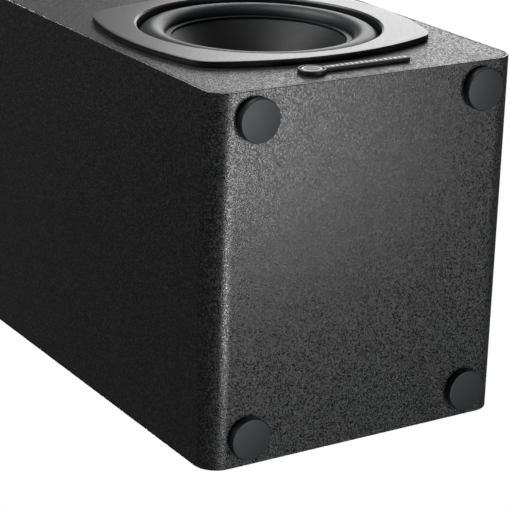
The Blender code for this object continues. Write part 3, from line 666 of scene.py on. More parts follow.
@dataclass
class Workshop:
    """Makes pieces: puts grids into meshes, gives them a finish and sets them on a body."""

    made: dict[Slot, bpy.types.Material] = field(default_factory=dict)
    count: int = 0

    def finish(self, slot: Slot) -> bpy.types.Material:
        """The material of a slot, built once."""
        if slot not in self.made:
            self.made[slot] = FINISHES[slot].material()
        return self.made[slot]

    def dress_frame(self) -> None:
        """Gives every CAD node the finish of its slot in the record."""
        for entry in frame["record"]["subparts"]:
            materials = frame["nodes"][entry["node"]].data.materials
            materials.clear()
            materials.append(self.finish(Slot(entry["material_slot"])))
        log.info("dressed %d CAD nodes", len(frame["nodes"]))

    def from_faces(
        self, label: Label, points: np.ndarray, faces: Sequence[Sequence[int]]
    ) -> bpy.types.Object:
        """Makes a piece from points in the row frame, and closes its seams and poles.

        Args:
            label: what the piece is.
            points: the points, shape (n, 3).
            faces: the corner numbers of each face.

        Returns:
            The new object, with its faces pointing out.
        """
        mesh = bpy.data.meshes.new(label.name)
        mesh.from_pydata(points, [], faces)
        shape = bmesh.new()
        shape.from_mesh(mesh)
        bmesh.ops.remove_doubles(shape, verts=shape.verts, dist=MERGE)
        bmesh.ops.recalc_face_normals(shape, faces=shape.faces)
        shape.to_mesh(mesh)
        shape.free()
        mesh.shade_smooth()
        mesh.set_sharp_from_angle(angle=math.radians(label.sharp))
        mesh.materials.append(self.finish(label.slot))
        thing = bpy.data.objects.new(label.name, mesh)
        bpy.context.scene.collection.objects.link(thing)
        if label.replaces:
            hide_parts(*label.replaces)
        if label.ride:
            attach(thing, label.body.value)
        self.count += 1
        log.info("%s: %d faces, on %s", label.name, len(mesh.polygons), label.body.value)
        return thing

    def from_grid(
        self, label: Label, grid: np.ndarray, face: Face, close_rows: bool = False, caps: bool = False
    ) -> bpy.types.Object:
        """Makes a piece from a grid of local points whose columns close on themselves.

        Args:
            label: what the piece is.
            grid: local points, shape (rows, columns, 3).
            face: the face that carries it.
            close_rows: whether the last row joins the first.
            caps: whether the first and last rows are closed by flat faces.

        Returns:
            The new object.
        """
        rows, columns = grid.shape[:2]
        faces = grid_faces(rows, columns, close_rows).tolist()
        if caps:
            faces += [list(range(columns))[::-1], list(range((rows - 1) * columns, rows * columns))]
        return self.from_faces(label, face.place(grid.reshape(-1, 3)), faces)

    def turn(
        self,
        label: Label,
        corners: Corners,
        face: Face,
        segments: int = 96,
        closed: bool = False,
        lobes: Optional[Lobes] = None,
    ) -> bpy.types.Object:
        """Makes a piece by turning a filleted profile about the face's outward axis.

        Args:
            label: what the piece is.
            corners: the profile's corners, each (radius, height, fillet radius).
            face: the face that carries it.
            segments: points round the axis.
            closed: whether the profile joins its own end, as a ring's does.
            lobes: factors on the radius of rows that are not round.

        Returns:
            The new object.
        """
        profile = filleted(corners, closed)
        grid = turned(profile, segments, lobes.of(profile) if lobes else None)
        return self.from_grid(label, grid, face, close_rows=closed)

    def wear(self, thing: bpy.types.Object, slot: Slot) -> None:
        """Gives a piece a finish of its own in place of its slot's."""
        thing.data.materials[0] = self.finish(slot)

    def eased_copy(self, node: str, slot: Slot, width: float) -> bpy.types.Object:
        """A CAD board or plate with its sharp edges eased, as they are on a wrapped or coated part.

        The copy's loose triangles are merged, flat areas are joined into single faces, and each edge
        that turns by more than 40 degrees gets a small rounded bevel. Normals weighted by face area
        keep the flat areas flat up to the bevel.

        Args:
            node: the CAD node to copy.
            slot: its material slot.
            width: the bevel's width.

        Returns:
            The new object, which stands for the node.
        """
        source = frame["nodes"][node]
        shape = bmesh.new()
        shape.from_mesh(source.data)
        shape.transform(source.matrix_world)
        bmesh.ops.remove_doubles(shape, verts=shape.verts, dist=MERGE)
        bmesh.ops.dissolve_limit(shape, angle_limit=math.radians(1.0), verts=shape.verts, edges=shape.edges)
        steep = math.radians(40.0)
        sharp = [edge for edge in shape.edges if edge.is_manifold and edge.calc_face_angle() > steep]
        rounding = {"offset": width, "segments": 3, "profile": 0.5, "affect": "EDGES", "clamp_overlap": True}
        bmesh.ops.bevel(shape, geom=sharp, **rounding)
        draft = bpy.data.meshes.new("draft")
        shape.to_mesh(draft)
        shape.free()
        faces = [polygon.vertices[:] for polygon in draft.polygons]
        piece = self.from_faces(Label(f"{node}_eased", slot, replaces=(node,)), points_of(draft), faces)
        bpy.data.meshes.remove(draft)
        piece.modifiers.new("flat_faces", "WEIGHTED_NORMAL").keep_sharp = True
        return piece

    def bars(self, label: Label, face: Face, *columns: object) -> bpy.types.Object:
        """Makes flat bars as one piece: raised print, tick marks or inlays.

        Each bar is a unit box scaled to its size, turned in the face and moved to its place.

        Args:
            label: what the piece is.
            face: the face that carries them.
            columns: x, y, turn, width, height, low and high, each one number or one for each bar.

        Returns:
            The new object.
        """
        x, y, turn, width, height, low, high = np.broadcast_arrays(*(np.reshape(c, (-1, 1)) for c in columns))
        corners = np.array([[x, y, z] for z in (0, 1) for x, y in ((-1, -1), (1, -1), (1, 1), (-1, 1))]) * 1.0
        u, v = corners[:, 0] * width / 2, corners[:, 1] * height / 2
        across = x + u * np.cos(turn) - v * np.sin(turn)
        upward = y + u * np.sin(turn) + v * np.cos(turn)
        points = np.stack([across, upward, low + corners[:, 2] * (high - low)], axis=2)
        box = np.array([[3, 2, 1, 0], [4, 5, 6, 7], [0, 1, 5, 4], [1, 2, 6, 5], [2, 3, 7, 6], [3, 0, 4, 7]])
        faces = (np.arange(len(x))[:, None, None] * 8 + box).reshape(-1, 4)
        return self.from_faces(label, face.place(points.reshape(-1, 3)), faces.tolist())


@dataclass
class Assembly:
    """Pieces that stand on one face of the cabinet."""

    shop: Workshop
    face: Face = field(init=False)

    def __post_init__(self) -> None:
        """Takes the front face. An assembly that stands elsewhere has its own."""
        self.face = front_face()

    def face_at(self, node: str) -> Face:
        """The assembly's face with its origin moved level with a node's middle."""
        return self.face.at(*self.face.local(centre_of(node))[:2])

    def span(self, node: str) -> tuple[float, float, float, float]:
        """How large a node is on the face.

        Args:
            node: the CAD node.

        Returns:
            Its width and height, and how far out of the face it starts and ends.
        """
        low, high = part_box(node)
        start, end = sorted((self.face.local(low)[2], self.face.local(high)[2]))
        return high.x - low.x, high.z - low.z, start, end


# ---------------------------------------------------------------------------------------------
# The cabinet


@dataclass
class Cabinet(Assembly):
    """The wrapped tube, its boards, its four feet and the wadding inside."""

    corner_radius: float = 14.0 * MM
    wall: float = 12.0 * MM
    lip: float = 1.5 * MM
    baffle_ledge: float = 18.3 * MM
    panel_ledge: float = 12.3 * MM
    edge: float = 0.45 * MM
    board_edge: float = 0.35 * MM
    foot_edge: float = 0.8 * MM
    foot_step: float = 0.35 * MM
    foot_step_height: float = 1.2 * MM
    wadding_radius: float = 5.0 * MM

    def build(self) -> None:
        """Builds the shell, its two boards, the feet and the wadding."""
        self.build_shell()
        baffle = self.shop.eased_copy("front_baffle", Slot.VINYL_WRAPPED_BOARD, self.board_edge)
        self.shop.wear(baffle, Slot.BAFFLE_WRAP)
        self.shop.eased_copy("rear_panel", Slot.VINYL_WRAPPED_BOARD, self.board_edge)
        for foot in ("front_left", "front_right", "rear_left", "rear_right"):
            self.build_foot(f"foot_{foot}")
        self.build_wadding()

    def build_shell(self) -> None:
        """The tube: one section of wall, lip and ledges, carried round a rounded rectangle."""
        width, height, start, end = self.span("cabinet_shell")
        back = start - end
        section = filleted([
            (0.0, 0.0, self.edge),
            (self.lip, 0.0, self.edge / 2),
            (self.lip, -self.baffle_ledge, 0.0),
            (self.wall, -self.baffle_ledge, 0.0),
            (self.wall, back + self.panel_ledge, 0.0),
            (self.lip, back + self.panel_ledge, 0.0),
            (self.lip, back, self.edge / 2),
            (0.0, back, self.edge),
        ], closed=True)
        rows = inset_rows(width, height, self.corner_radius, section)
        label = Label("cabinet_shell_skin", Slot.VINYL_WRAPPED_BOARD, replaces=("cabinet_shell",))
        self.shop.from_grid(label, rounded_loops(rows, 20), self.face_at("cabinet_shell"), close_rows=True)

    def build_foot(self, node: str) -> None:
        """A rubber foot: a turned puck with a rounded rim and a faint step near its root.

        Args:
            node: the foot's CAD node.
        """
        low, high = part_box(node)
        middle = centre_of(node)
        radius, height = (high.x - low.x) / 2, high.z - low.z
        corners = [
            (0.0, 0.0, 0.0),
            (radius, 0.0, self.foot_edge),
            (radius, height - self.foot_step_height - 0.2 * MM, 0.2 * MM),
            (radius - self.foot_step, height - self.foot_step_height, 0.2 * MM),
            (radius - self.foot_step, height, 0.1 * MM),
            (0.0, height, 0.0),
        ]
        face = Face((middle[0], middle[1], low.z), (1, 0, 0), (0, 1, 0), (0, 0, 1))
        self.shop.turn(Label(f"{node}_puck", Slot.RUBBER, replaces=(node,)), corners, face, 128)

    def build_wadding(self) -> None:
        """A soft layer: a rounded slab whose faces swell between the points where it is stapled.

        The swelling follows the size of a cosine along the layer, and its ends close as a round does.
        """
        low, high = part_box("damping_pad")
        share = np.linspace(0.0, 1.0, 49)
        round_end = np.sqrt(np.clip(1 - np.clip(np.abs(2 * share - 1) * 1.08 - 0.08, 0, 1) ** 8, 0.0, 1.0))
        quilt = 0.86 + 0.14 * np.abs(np.cos(3 * math.pi * share))
        width = (high.x - low.x) * (0.96 + 0.04 * round_end) * (round_end > 0)
        thickness = (high.z - low.z) * round_end * quilt
        along = (high.y - low.y) * (share - 0.5)
        rows = np.stack([width, thickness, self.wadding_radius * round_end, along], axis=1)
        face = Face(tuple(centre_of("damping_pad")), (1, 0, 0), (0, 0, 1), (0, -1, 0))
        label = Label("wadding_layer", Slot.WADDING, replaces=("damping_pad",))
        self.shop.from_grid(label, rounded_loops(rows, 12), face)


# ---------------------------------------------------------------------------------------------
# The front


@dataclass
class FrontTrim(Assembly):
    """The plate round the driver, with bulging sides."""

    side_radius: float = 174.0 * MM
    corner_radius: float = 20.0 * MM
    opening: float = 72.0 * MM
    chamfer: float = 1.1 * MM
    groove: float = 0.45 * MM
    groove_low: float = 2.15 * MM
    groove_high: float = 2.55 * MM
    skirt: float = 1.2 * MM
    under: float = 0.3 * MM
    border: float = 3.0 * MM

    def outline(self, half_width: float, half_height: float, inset: np.ndarray) -> np.ndarray:
        """The plate's outline, moved in by an inset: arcs of three radii about fixed centres.

        A quarter has half a side arc, a corner arc and half a top arc. The corner's centre lies the
        difference of the radii away from both other centres. Each point is its arc's centre plus
        (radius - inset) along its direction, mirrored into four quarters.

        Args:
            half_width: from the centre to the middle of a side.
            half_height: from the centre to the middle of the top.
            inset: one inset for each row.

        Returns:
            Points, shape (rows, columns, 2).
        """
        side = np.array([half_width - self.side_radius, 0.0])
        top = np.array([0.0, half_height - self.side_radius])
        reach = self.side_radius - self.corner_radius
        between = top - side
        rise = math.sqrt(reach**2 - (between @ between) / 4)
        corner = (side + top) / 2 + rise * np.array([-between[1], between[0]]) / np.linalg.norm(between)
        low_turn = math.atan2(*(corner - side)[::-1])
        high_turn = math.atan2(*(corner - top)[::-1])
        turns = [
            np.linspace(0.0, low_turn, 25)[:-1],
            np.linspace(low_turn, high_turn, 17)[:-1],
            np.linspace(high_turn, math.pi / 2, 25)[:-1],
        ]
        centres = np.concatenate([np.tile(c, (len(t), 1)) for c, t in zip((side, corner, top), turns)])
        radii = np.repeat([self.side_radius, self.corner_radius, self.side_radius], [len(t) for t in turns])
        turn = np.concatenate(turns)
        direction = np.stack([np.cos(turn), np.sin(turn)], axis=1)
        quarter = centres + (radii - inset[:, None])[:, :, None] * direction
        end = np.stack([np.zeros_like(inset), half_height - inset], axis=1)[:, None, :]
        over = np.concatenate([end, quarter[:, :0:-1] * np.array([-1, 1])], axis=1)
        half = np.concatenate([quarter, over], axis=1)
        return np.concatenate([half, -half], axis=1)

    def build(self) -> None:
        """The plate: outer rows follow the outline, inner rows a circle, and the top face joins them."""
        width, height, skirt_end, proud = self.span("trim_ring")
        outer = filleted([
            (self.border, self.under, 0.0),
            (0.0, self.under, 0.15 * MM),
            (0.0, self.groove_low, 0.12 * MM),
            (self.groove, self.groove_low, 0.08 * MM),
            (self.groove, self.groove_high, 0.08 * MM),
            (0.0, self.groove_high, 0.12 * MM),
            (0.0, proud, 0.45 * MM),
            (self.border, proud, 0.0),
        ])
        inner = filleted([
            (self.opening + self.border, proud, 0.0),
            (self.opening + self.chamfer, proud, 0.25 * MM),
            (self.opening, proud - self.chamfer, 0.25 * MM),
            (self.opening, skirt_end, 0.3 * MM),
            (self.opening + self.skirt, skirt_end, 0.3 * MM),
            (self.opening + self.skirt, self.under, 0.0),
        ])
        flat = self.outline(width / 2, height / 2, outer[:, 0])
        angle = np.arctan2(flat[0, :, 1], flat[0, :, 0])
        circle = inner[:, :1, None] * np.stack([np.cos(angle), np.sin(angle)], axis=1)
        rings = np.concatenate([flat, circle])
        out = np.concatenate([outer[:, 1], inner[:, 1]])
        grid = np.concatenate([rings, np.broadcast_to(out[:, None, None], rings.shape[:2] + (1,))], axis=2)
        label = Label("trim_plate", Slot.SATIN_TRIM, replaces=("trim_ring",), sharp=28.0)
        self.shop.from_grid(label, grid, self.face_at("trim_ring"), close_rows=True)


@dataclass
class Badge(Assembly):
    """A plain badge: a domed emblem with a ring, a strip, and a row of plain silver bars."""

    under: float = 0.3 * MM
    rim: float = 0.5 * MM
    strip_height: float = 5.4 * MM
    strip_drop: float = 0.2 * MM
    ring_outer: float = 2.4 * MM
    ring_inner: float = 3.4 * MM
    segments: int = 72
    bars: int = 17
    bar_width: float = 1.1 * MM

    def build(self) -> None:
        """Builds the emblem, the strip and its bars, and the ring."""
        low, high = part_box("badge")
        _, height, _, thick = self.span("badge")
        radius, middle = height / 2, (low.z + high.z) / 2
        start = low.x + radius
        emblem_face = self.face.at(start, middle)
        self.build_emblem(emblem_face, radius, thick)
        self.build_strip(start, high.x, middle, radius, thick)
        self.build_ring(emblem_face, radius, thick)

    def build_emblem(self, face: Face, radius: float, thick: float) -> None:
        """The round end, dished inside its rim.

        Args:
            face: the baffle's face at the emblem's middle.
            radius: the emblem's radius.
            thick: how far it stands out.
        """
        emblem = [
            (0.0, self.under, 0.0),
            (radius, self.under, 0.1 * MM),
            (radius, thick, self.rim),
            (radius - 1.2 * MM, thick, 0.2 * MM),
            (radius - 1.5 * MM, thick - 0.5 * MM, 0.2 * MM),
            (radius - 3.0 * MM, thick - 0.3 * MM, 2.0 * MM),
            (0.0, thick, 0.0),
        ]
        label = Label("badge_emblem", Slot.BLACK_PLASTIC, replaces=("badge",))
        self.shop.turn(label, emblem, face, self.segments)

    def build_ring(self, face: Face, radius: float, thick: float) -> None:
        """A flat silver ring set in the emblem.

        Args:
            face: the baffle's face at the emblem's middle.
            radius: the emblem's radius.
            thick: how far it stands out.
        """
        outer, inner = radius - self.ring_outer, radius - self.ring_inner
        root, top = thick - 0.5 * MM, thick - 0.1 * MM
        corners = [(outer, root, 0.0), (outer, top, 0.1 * MM), (inner, top, 0.1 * MM), (inner, root, 0.0)]
        grid = turned(filleted(corners, closed=True, steps=3), self.segments)
        silver = self.shop.from_grid(Label("badge_ring", Slot.BARE_STEEL), grid, face, close_rows=True)
        self.shop.wear(silver, Slot.SILVER_INK)

    def build_strip(self, start: float, end: float, middle: float, radius: float, thick: float) -> None:
        """The strip, and bars whose heights follow a sine.

        Args:
            start: where the strip starts, under the emblem's middle.
            end: where it ends.
            middle: its middle's height above the standing surface.
            radius: the emblem's radius.
            thick: how far the emblem stands out.
        """
        top = thick - self.strip_drop
        section = filleted([
            (0.5 * self.strip_height, self.under, 0.0),
            (0.0, self.under, 0.1 * MM),
            (0.0, top, self.rim),
            (0.5 * self.strip_height, top, 0.0),
        ])
        rows = inset_rows(end - start, self.strip_height, 1.0 * MM, section)
        face = self.face.at((start + end) / 2, middle)
        self.shop.from_grid(Label("badge_strip", Slot.BLACK_PLASTIC), rounded_loops(rows), face)
        first, last = start + radius + 2.0 * MM, end - 2.5 * MM
        number = np.arange(self.bars)
        place = first + (last - first) * number / (self.bars - 1)
        tall = (1.5 + 1.3 * np.abs(np.sin(1.7 * number))) * MM
        levels = (thick - 0.25 * MM, thick - 0.05 * MM)
        label = Label("badge_bars", Slot.BARE_STEEL)
        silver = self.shop.bars(label, self.face, place, middle, 0.0, self.bar_width, tall, *levels)
        self.shop.wear(silver, Slot.SILVER_INK)


@dataclass
class Port(Assembly):
    """The bass-reflex port: a flange, a flared mouth and a straight tube."""

    bore: float = 25.0 * MM
    flare: float = 11.0 * MM
    wall: float = 2.5 * MM
    flange_back: float = 3.7 * MM
    collar: float = 30.6 * MM
    collar_back: float = 14.0 * MM
    shoulder: float = 18.0 * MM

    def build(self) -> None:
        """One turned skin: bore, quarter-round flare, flange, collar and outer tube."""
        _, height, start, end = self.span("port_tube")
        flange, back = height / 2, start - end
        turn = np.linspace(0.0, math.pi / 2, 25)
        radius = self.bore + self.flare * (1 - np.cos(turn))
        mouth = np.stack([radius, self.flare * (np.sin(turn) - 1)], axis=1)
        outside = filleted([
            (self.bore + self.flare, 0.0, 0.0),
            (flange, 0.0, 0.9 * MM),
            (flange, -self.flange_back, 0.2 * MM),
            (self.collar, -self.flange_back, 0.0),
            (self.collar, -self.collar_back, 0.0),
            (self.bore + self.wall, -self.shoulder, 0.0),
            (self.bore + self.wall, back, 0.8 * MM),
            (self.bore, back, 0.8 * MM),
            (self.bore, -self.flare - 1.0 * MM, 0.0),
        ])
        grid = turned(np.concatenate([mouth, outside[1:]]), 128)
        label = Label("port_flare", Slot.BLACK_PLASTIC, replaces=("port_tube",))
        self.shop.from_grid(label, grid, self.face_at("port_tube"), close_rows=True)


@dataclass
class Driver(Assembly):
    """What moves in the driver, and the rubber and cloth that carry it."""

    roll_middle: float = 63.0 * MM
    roll_reach: float = 7.4 * MM
    roll_height: float = 6.1 * MM
    roll_skin: float = 0.5 * MM
    roll_base: float = -4.7 * MM
    surround_outer: float = 73.0 * MM
    surround_inner: float = 51.8 * MM
    cone_edge: float = 54.8 * MM
    cone_rim: float = 3.3 * MM
    cone_front: float = -5.6 * MM
    cone_skin: float = 1.2 * MM
    cone_bow: float = 0.7 * MM
    neck: float = 17.2 * MM
    neck_front: float = -36.0 * MM
    cap_radius: float = 20.6 * MM
    cap_rise: float = 8.0 * MM
    cap_base: float = -32.0 * MM
    cap_foot: float = 0.5 * MM
    cap_skin: float = 1.0 * MM
    spider_inner: float = 18.0 * MM
    spider_flat: float = 44.4 * MM
    spider_outer: float = 48.4 * MM
    spider_middle: float = -45.5 * MM
    spider_wave: float = 1.5 * MM
    spider_rolls: int = 4
    spider_skin: float = 0.4 * MM

    def __post_init__(self) -> None:
        """Takes the front face with its origin on the cone's axis."""
        super().__post_init__()
        self.face = self.face_at("cone")

    def build(self) -> None:
        """Builds surround, cone, dust cap and spider."""
        self.build_surround()
        self.build_cone()
        self.build_dust_cap()
        self.build_spider()

    def build_ring(self, label: Label, profile: Sequence[np.ndarray], segments: int) -> bpy.types.Object:
        """Makes a piece by turning a closed profile about the driver's axis.

        Args:
            label: what the piece is.
            profile: runs of points of (radius, height), in order.
            segments: points round the axis.

        Returns:
            The new object.
        """
        grid = turned(np.concatenate(profile), segments)
        return self.shop.from_grid(label, grid, self.face, close_rows=True)

    def bend_between(self, piece: bpy.types.Object, inner: float, outer: float) -> None:
        """Bakes a round piece's place into its mesh and takes its points relative to the driver's axis.

        Nothing more is done with them: the piece does not follow the cone.

        Args:
            piece: the surround or the spider.
            inner: the radius where it is glued to the moving part; not used.
            outer: the radius where it is glued to the basket; not used.
        """
        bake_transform(piece)
        away = points_of(piece.data) - np.array(self.face.origin)

    def build_surround(self) -> None:
        """A half-roll of rubber: two half ellipses a skin apart, with flat lips inside and outside."""
        turn = np.linspace(0.0, math.pi, 37)
        skin = np.array([0.0, self.roll_skin])
        sides = []
        for offset in (self.roll_skin, -self.roll_skin):
            radius = self.roll_middle + (self.roll_reach + offset) * np.cos(turn)
            height = self.roll_base + (self.roll_height + offset) * np.sin(turn)
            sides.append(np.stack([radius, height], axis=1))
        top, bottom = self.roll_base + self.roll_skin, self.roll_base - self.roll_skin
        profile = (
            [(self.surround_outer, bottom), (self.surround_outer, top)],
            sides[0] + skin * np.abs(np.cos(turn))[:, None] ** 8,
            [(self.surround_inner, top), (self.surround_inner, bottom)],
            sides[1][::-1] - skin,
        )
        label = Label("surround_roll", Slot.RUBBER, replaces=("surround",), sharp=50.0, ride=False)
        surround = self.build_ring(label, profile, 160)
        reach = self.roll_reach + self.roll_skin
        self.bend_between(surround, self.roll_middle - reach, self.roll_middle + reach)

    def build_cone(self) -> None:
        """The cone: a gently bowed skin from the neck to a flat rim, of one thickness."""
        share = np.linspace(0.0, 1.0, 33)
        rim = self.cone_edge - self.cone_rim
        radius = self.neck + (rim - self.neck) * share
        bow = self.cone_bow * np.sin(math.pi * share)
        height = self.neck_front + (self.cone_front - self.neck_front) * share + bow
        front = np.stack([radius, height], axis=1)
        edge = [(self.cone_edge, self.cone_front), (self.cone_edge, self.cone_front - self.cone_skin)]
        back = front[::-1] - np.array([0.0, 1.2 * self.cone_skin])
        label = Label("cone_skin", Slot.COATED_PAPER, Body.CONE, ("cone",))
        self.build_ring(label, (front, edge, back), 160)

    def build_dust_cap(self) -> None:
        """The dust cap: two domes a skin apart, the outer one with a small glued foot."""
        turn = np.linspace(math.radians(2.0), math.pi / 2, 25)
        height = self.cap_base + self.cap_rise * np.sin(turn)
        outer = np.stack([self.cap_radius * np.cos(turn), height], axis=1)
        inner = outer[::-1] * np.array([0.95, 1.0]) - np.array([0.0, self.cap_skin])
        outer[-1, 0] = inner[0, 0] = 0.0
        foot = [(self.cap_radius, self.cap_base - self.cap_foot)]
        label = Label("dust_dome", Slot.COATED_PAPER, Body.CONE, ("dust_cap",))
        self.build_ring(label, (foot, outer, inner), 96)

    def build_spider(self) -> None:
        """The spider: cloth pressed into sine waves of one thickness, flat at its outer edge."""
        share = np.linspace(0.0, 1.0, 97)
        radius = self.spider_inner + (self.spider_flat - self.spider_inner) * share
        wave = np.sin(2 * self.spider_rolls * math.pi * share) * np.sin(math.pi * share) ** 0.5
        top, bottom = self.spider_middle + self.spider_skin, self.spider_middle - self.spider_skin
        front = np.stack([radius, top + self.spider_wave * wave], axis=1)
        edge = [(self.spider_outer, top), (self.spider_outer, bottom)]
        back = front[::-1] - np.array([0.0, top - bottom])
        label = Label("spider_waves", Slot.SPIDER_CLOTH, replaces=("spider",), ride=False)
        spider = self.build_ring(label, (front, edge, back), 120)
        self.bend_between(spider, self.spider_inner, self.spider_flat)


# ---------------------------------------------------------------------------------------------
# The rear


@dataclass
class Amplifier(Assembly):
    """What shows on the amplifier plate: controls, sockets, switches, heat sink, screws and print."""

    plate_top: float = 3.8 * MM
    plate_edge: float = 0.35 * MM
    seat: float = 4.1 * MM
    well_floor: float = -7.0 * MM
    segments: int = 96
    knob_bore: float = 3.3 * MM
    knob_roof: float = 3.7 * MM
    knob_flutes: int = 24
    flute_depth: float = 0.035
    shell_radius: float = 4.2 * MM
    shell_bore: float = 3.4 * MM
    shell_root: float = 4.0 * MM
    nut_radius: float = 5.5 * MM
    nut_height: float = 1.6 * MM
    insert_radius: float = 3.1 * MM
    insert_bore: float = 1.6 * MM
    rocker_reach: float = 7.3 * MM
    rocker_valley: float = 2.4 * MM
    rocker_tilt: float = math.radians(8.0)
    fins: int = 13
    fin: float = 1.6 * MM
    fin_pitch: float = 8.5 * MM
    sink_base: float = 3.0 * MM
    screw_shank: float = 1.7 * MM
    recess: float = 1.5 * MM
    bolt_shank: float = 2.5 * MM
    bolt_head: float = 5.0 * MM
    bolt_socket: float = 1.9 * MM
    washer_place: float = 3.6 * MM
    washer_height: float = 1.4 * MM
    print_height: float = 0.08 * MM
    print_line: float = 0.4 * MM
    print_sides: tuple[float, float] = (-66.0 * MM, 66.0 * MM)
    print_heights: tuple[float, float, float] = (184.0 * MM, 148.0 * MM, 50.0 * MM)
    dial_radius: float = 12.4 * MM
    dial_marks: int = 11

    def __post_init__(self) -> None:
        """Takes the rear face as the face that carries everything."""
        self.face = rear_face()

    def build(self) -> None:
        """Builds each visible piece of the amplifier."""
        self.build_knob("level", Body.LEVEL)
        self.build_knob("crossover", Body.CROSSOVER)
        self.build_jack("left", Slot.WHITE_PLASTIC)
        self.build_jack("right", Slot.RED_PLASTIC)
        inlet = (20.4 * MM, 11.4 * MM, 1.0 * MM), (2.0 * MM, 0.6 * MM), (16.8 * MM, 8.2 * MM, 4.0 * MM)
        self.build_well("mains_socket", "power_inlet", *inlet)
        switch = (19.0 * MM, 13.0 * MM, 0.8 * MM), (1.6 * MM, 0.7 * MM), (15.6 * MM, 10.6 * MM, 0.5 * MM)
        self.build_well("power_switch_bezel", "power_switch_frame", *switch)
        self.build_rocker()
        self.build_phase_lever()
        self.build_lens()
        self.build_heat_sink()
        for number in range(1, 5):
            self.build_screw(f"amplifier_screw_{number}")
        self.build_bolt()
        self.shop.eased_copy("amplifier_plate", Slot.PAINTED_STEEL, self.plate_edge)
        self.build_print()

    def build_knob(self, name: str, body: Body) -> None:
        """A fluted knob with a dished top and a white pointer.

        Its side is a turned profile whose radius dips by a raised cosine, once for each flute.

        Args:
            name: the control's name.
            body: the body that turns.
        """
        node = f"{name}_knob"
        face = self.face_at(node)
        width, _, low, high = self.span(node)
        radius, roof = width / 2, high - self.knob_roof
        corners = [
            (0.0, roof, 0.0),
            (self.knob_bore, roof, 0.0),
            (self.knob_bore, low, 0.2 * MM),
            (radius, low, 0.3 * MM),
            (radius, low + 1.4 * MM, 0.3 * MM),
            (radius - 0.5 * MM, low + 1.7 * MM, 0.2 * MM),
            (radius - 1.2 * MM, high, 0.8 * MM),
            (radius - 2.6 * MM, high, 0.3 * MM),
            (radius - 3.0 * MM, high - 0.25 * MM, 0.3 * MM),
            (0.0, high - 0.3 * MM, 0.0),
        ]
        turn = round_turn(12 * self.knob_flutes)
        dips = 1 - self.flute_depth * (0.5 + 0.5 * np.cos(self.knob_flutes * turn))
        side = Lobes(dips, (radius - 2.4 * MM, math.inf), low + 1.75 * MM)
        label = Label(f"{node}_cap", Slot.BLACK_PLASTIC, body, (node,))
        self.shop.turn(label, corners, face, len(turn), lobes=side)
        pointer = (0.0, radius - 4.2 * MM, 0.0, 1.0 * MM, 5.4 * MM, high - 0.6 * MM, high + 0.06 * MM)
        self.shop.bars(Label(f"{name}_pointer", Slot.WHITE_PLASTIC, body), face, *pointer)

    def build_jack(self, side: str, colour: Slot) -> None:
        """A phono socket: a plated tube standing on a six-sided nut, round a coloured insert.

        Args:
            side: which of the two sockets.
            colour: the insert's slot.
        """
        shell, insert = f"input_shell_{side}", f"input_insert_{side}"
        face = self.face_at(shell)
        _, _, low, high = self.span(shell)
        nut_top, pit = self.seat + self.nut_height, -5.0 * MM
        corners = [
            (0.0, low, 0.0),
            (self.shell_root, low, 0.1 * MM),
            (self.shell_root, self.seat, 0.0),
            (self.nut_radius, self.seat, 0.1 * MM),
            (self.nut_radius, nut_top, 0.3 * MM),
            (self.shell_radius, nut_top, 0.1 * MM),
            (self.shell_radius, high, 0.3 * MM),
            (self.shell_bore, high, 0.2 * MM),
            (self.shell_bore, pit, 0.0),
            (0.0, pit, 0.0),
        ]
        nut = Lobes(hexagon(self.segments), (self.nut_radius - 0.6 * MM, math.inf))
        label = Label(f"{shell}_plated", Slot.BRASS_PLATING, replaces=(shell,))
        self.shop.turn(label, corners, face, self.segments, lobes=nut)
        _, _, low, high = self.span(insert)
        ring = [
            (self.insert_bore, low, 0.0),
            (self.insert_radius, low, 0.0),
            (self.insert_radius, high, 0.3 * MM),
            (self.insert_bore, high, 0.4 * MM),
        ]
        self.shop.turn(Label(f"{insert}_ring", colour, replaces=(insert,)), ring, face, 64, closed=True)

    def build_well(
        self, name: str, node: str, body: Sequence[float], rim: Sequence[float], well: Sequence[float]
    ) -> None:
        """A moulded frame: a body behind the plate, a flange on it and a well in its middle.

        Its rows are rounded rectangles of (width, height, corner radius, place), filleted as points
        of four dimensions.

        Args:
            name: the piece's name.
            node: the CAD node it stands for.
            body: the body's width, height and corner radius.
            rim: the flange's corner radius and the rounding of its edge.
            well: the well's width, height and corner radius.
        """
        width, height, low, high = self.span(node)
        speck = (0.2 * MM, 0.2 * MM, 0.1 * MM)
        rows = filleted([
            (*speck, low, 0.0),
            (*body, low, 0.4 * MM),
            (*body, self.seat, 0.0),
            (width, height, rim[0], self.seat, 0.1 * MM),
            (width, height, rim[0], high, rim[1]),
            (*well, high, 0.4 * MM),
            (*well, self.well_floor, 0.2 * MM),
            (*speck, self.well_floor, 0.0),
        ])
        label = Label(name, Slot.BLACK_PLASTIC, replaces=(node,))
        self.shop.from_grid(label, rounded_loops(rows), self.face_at(node), caps=True)

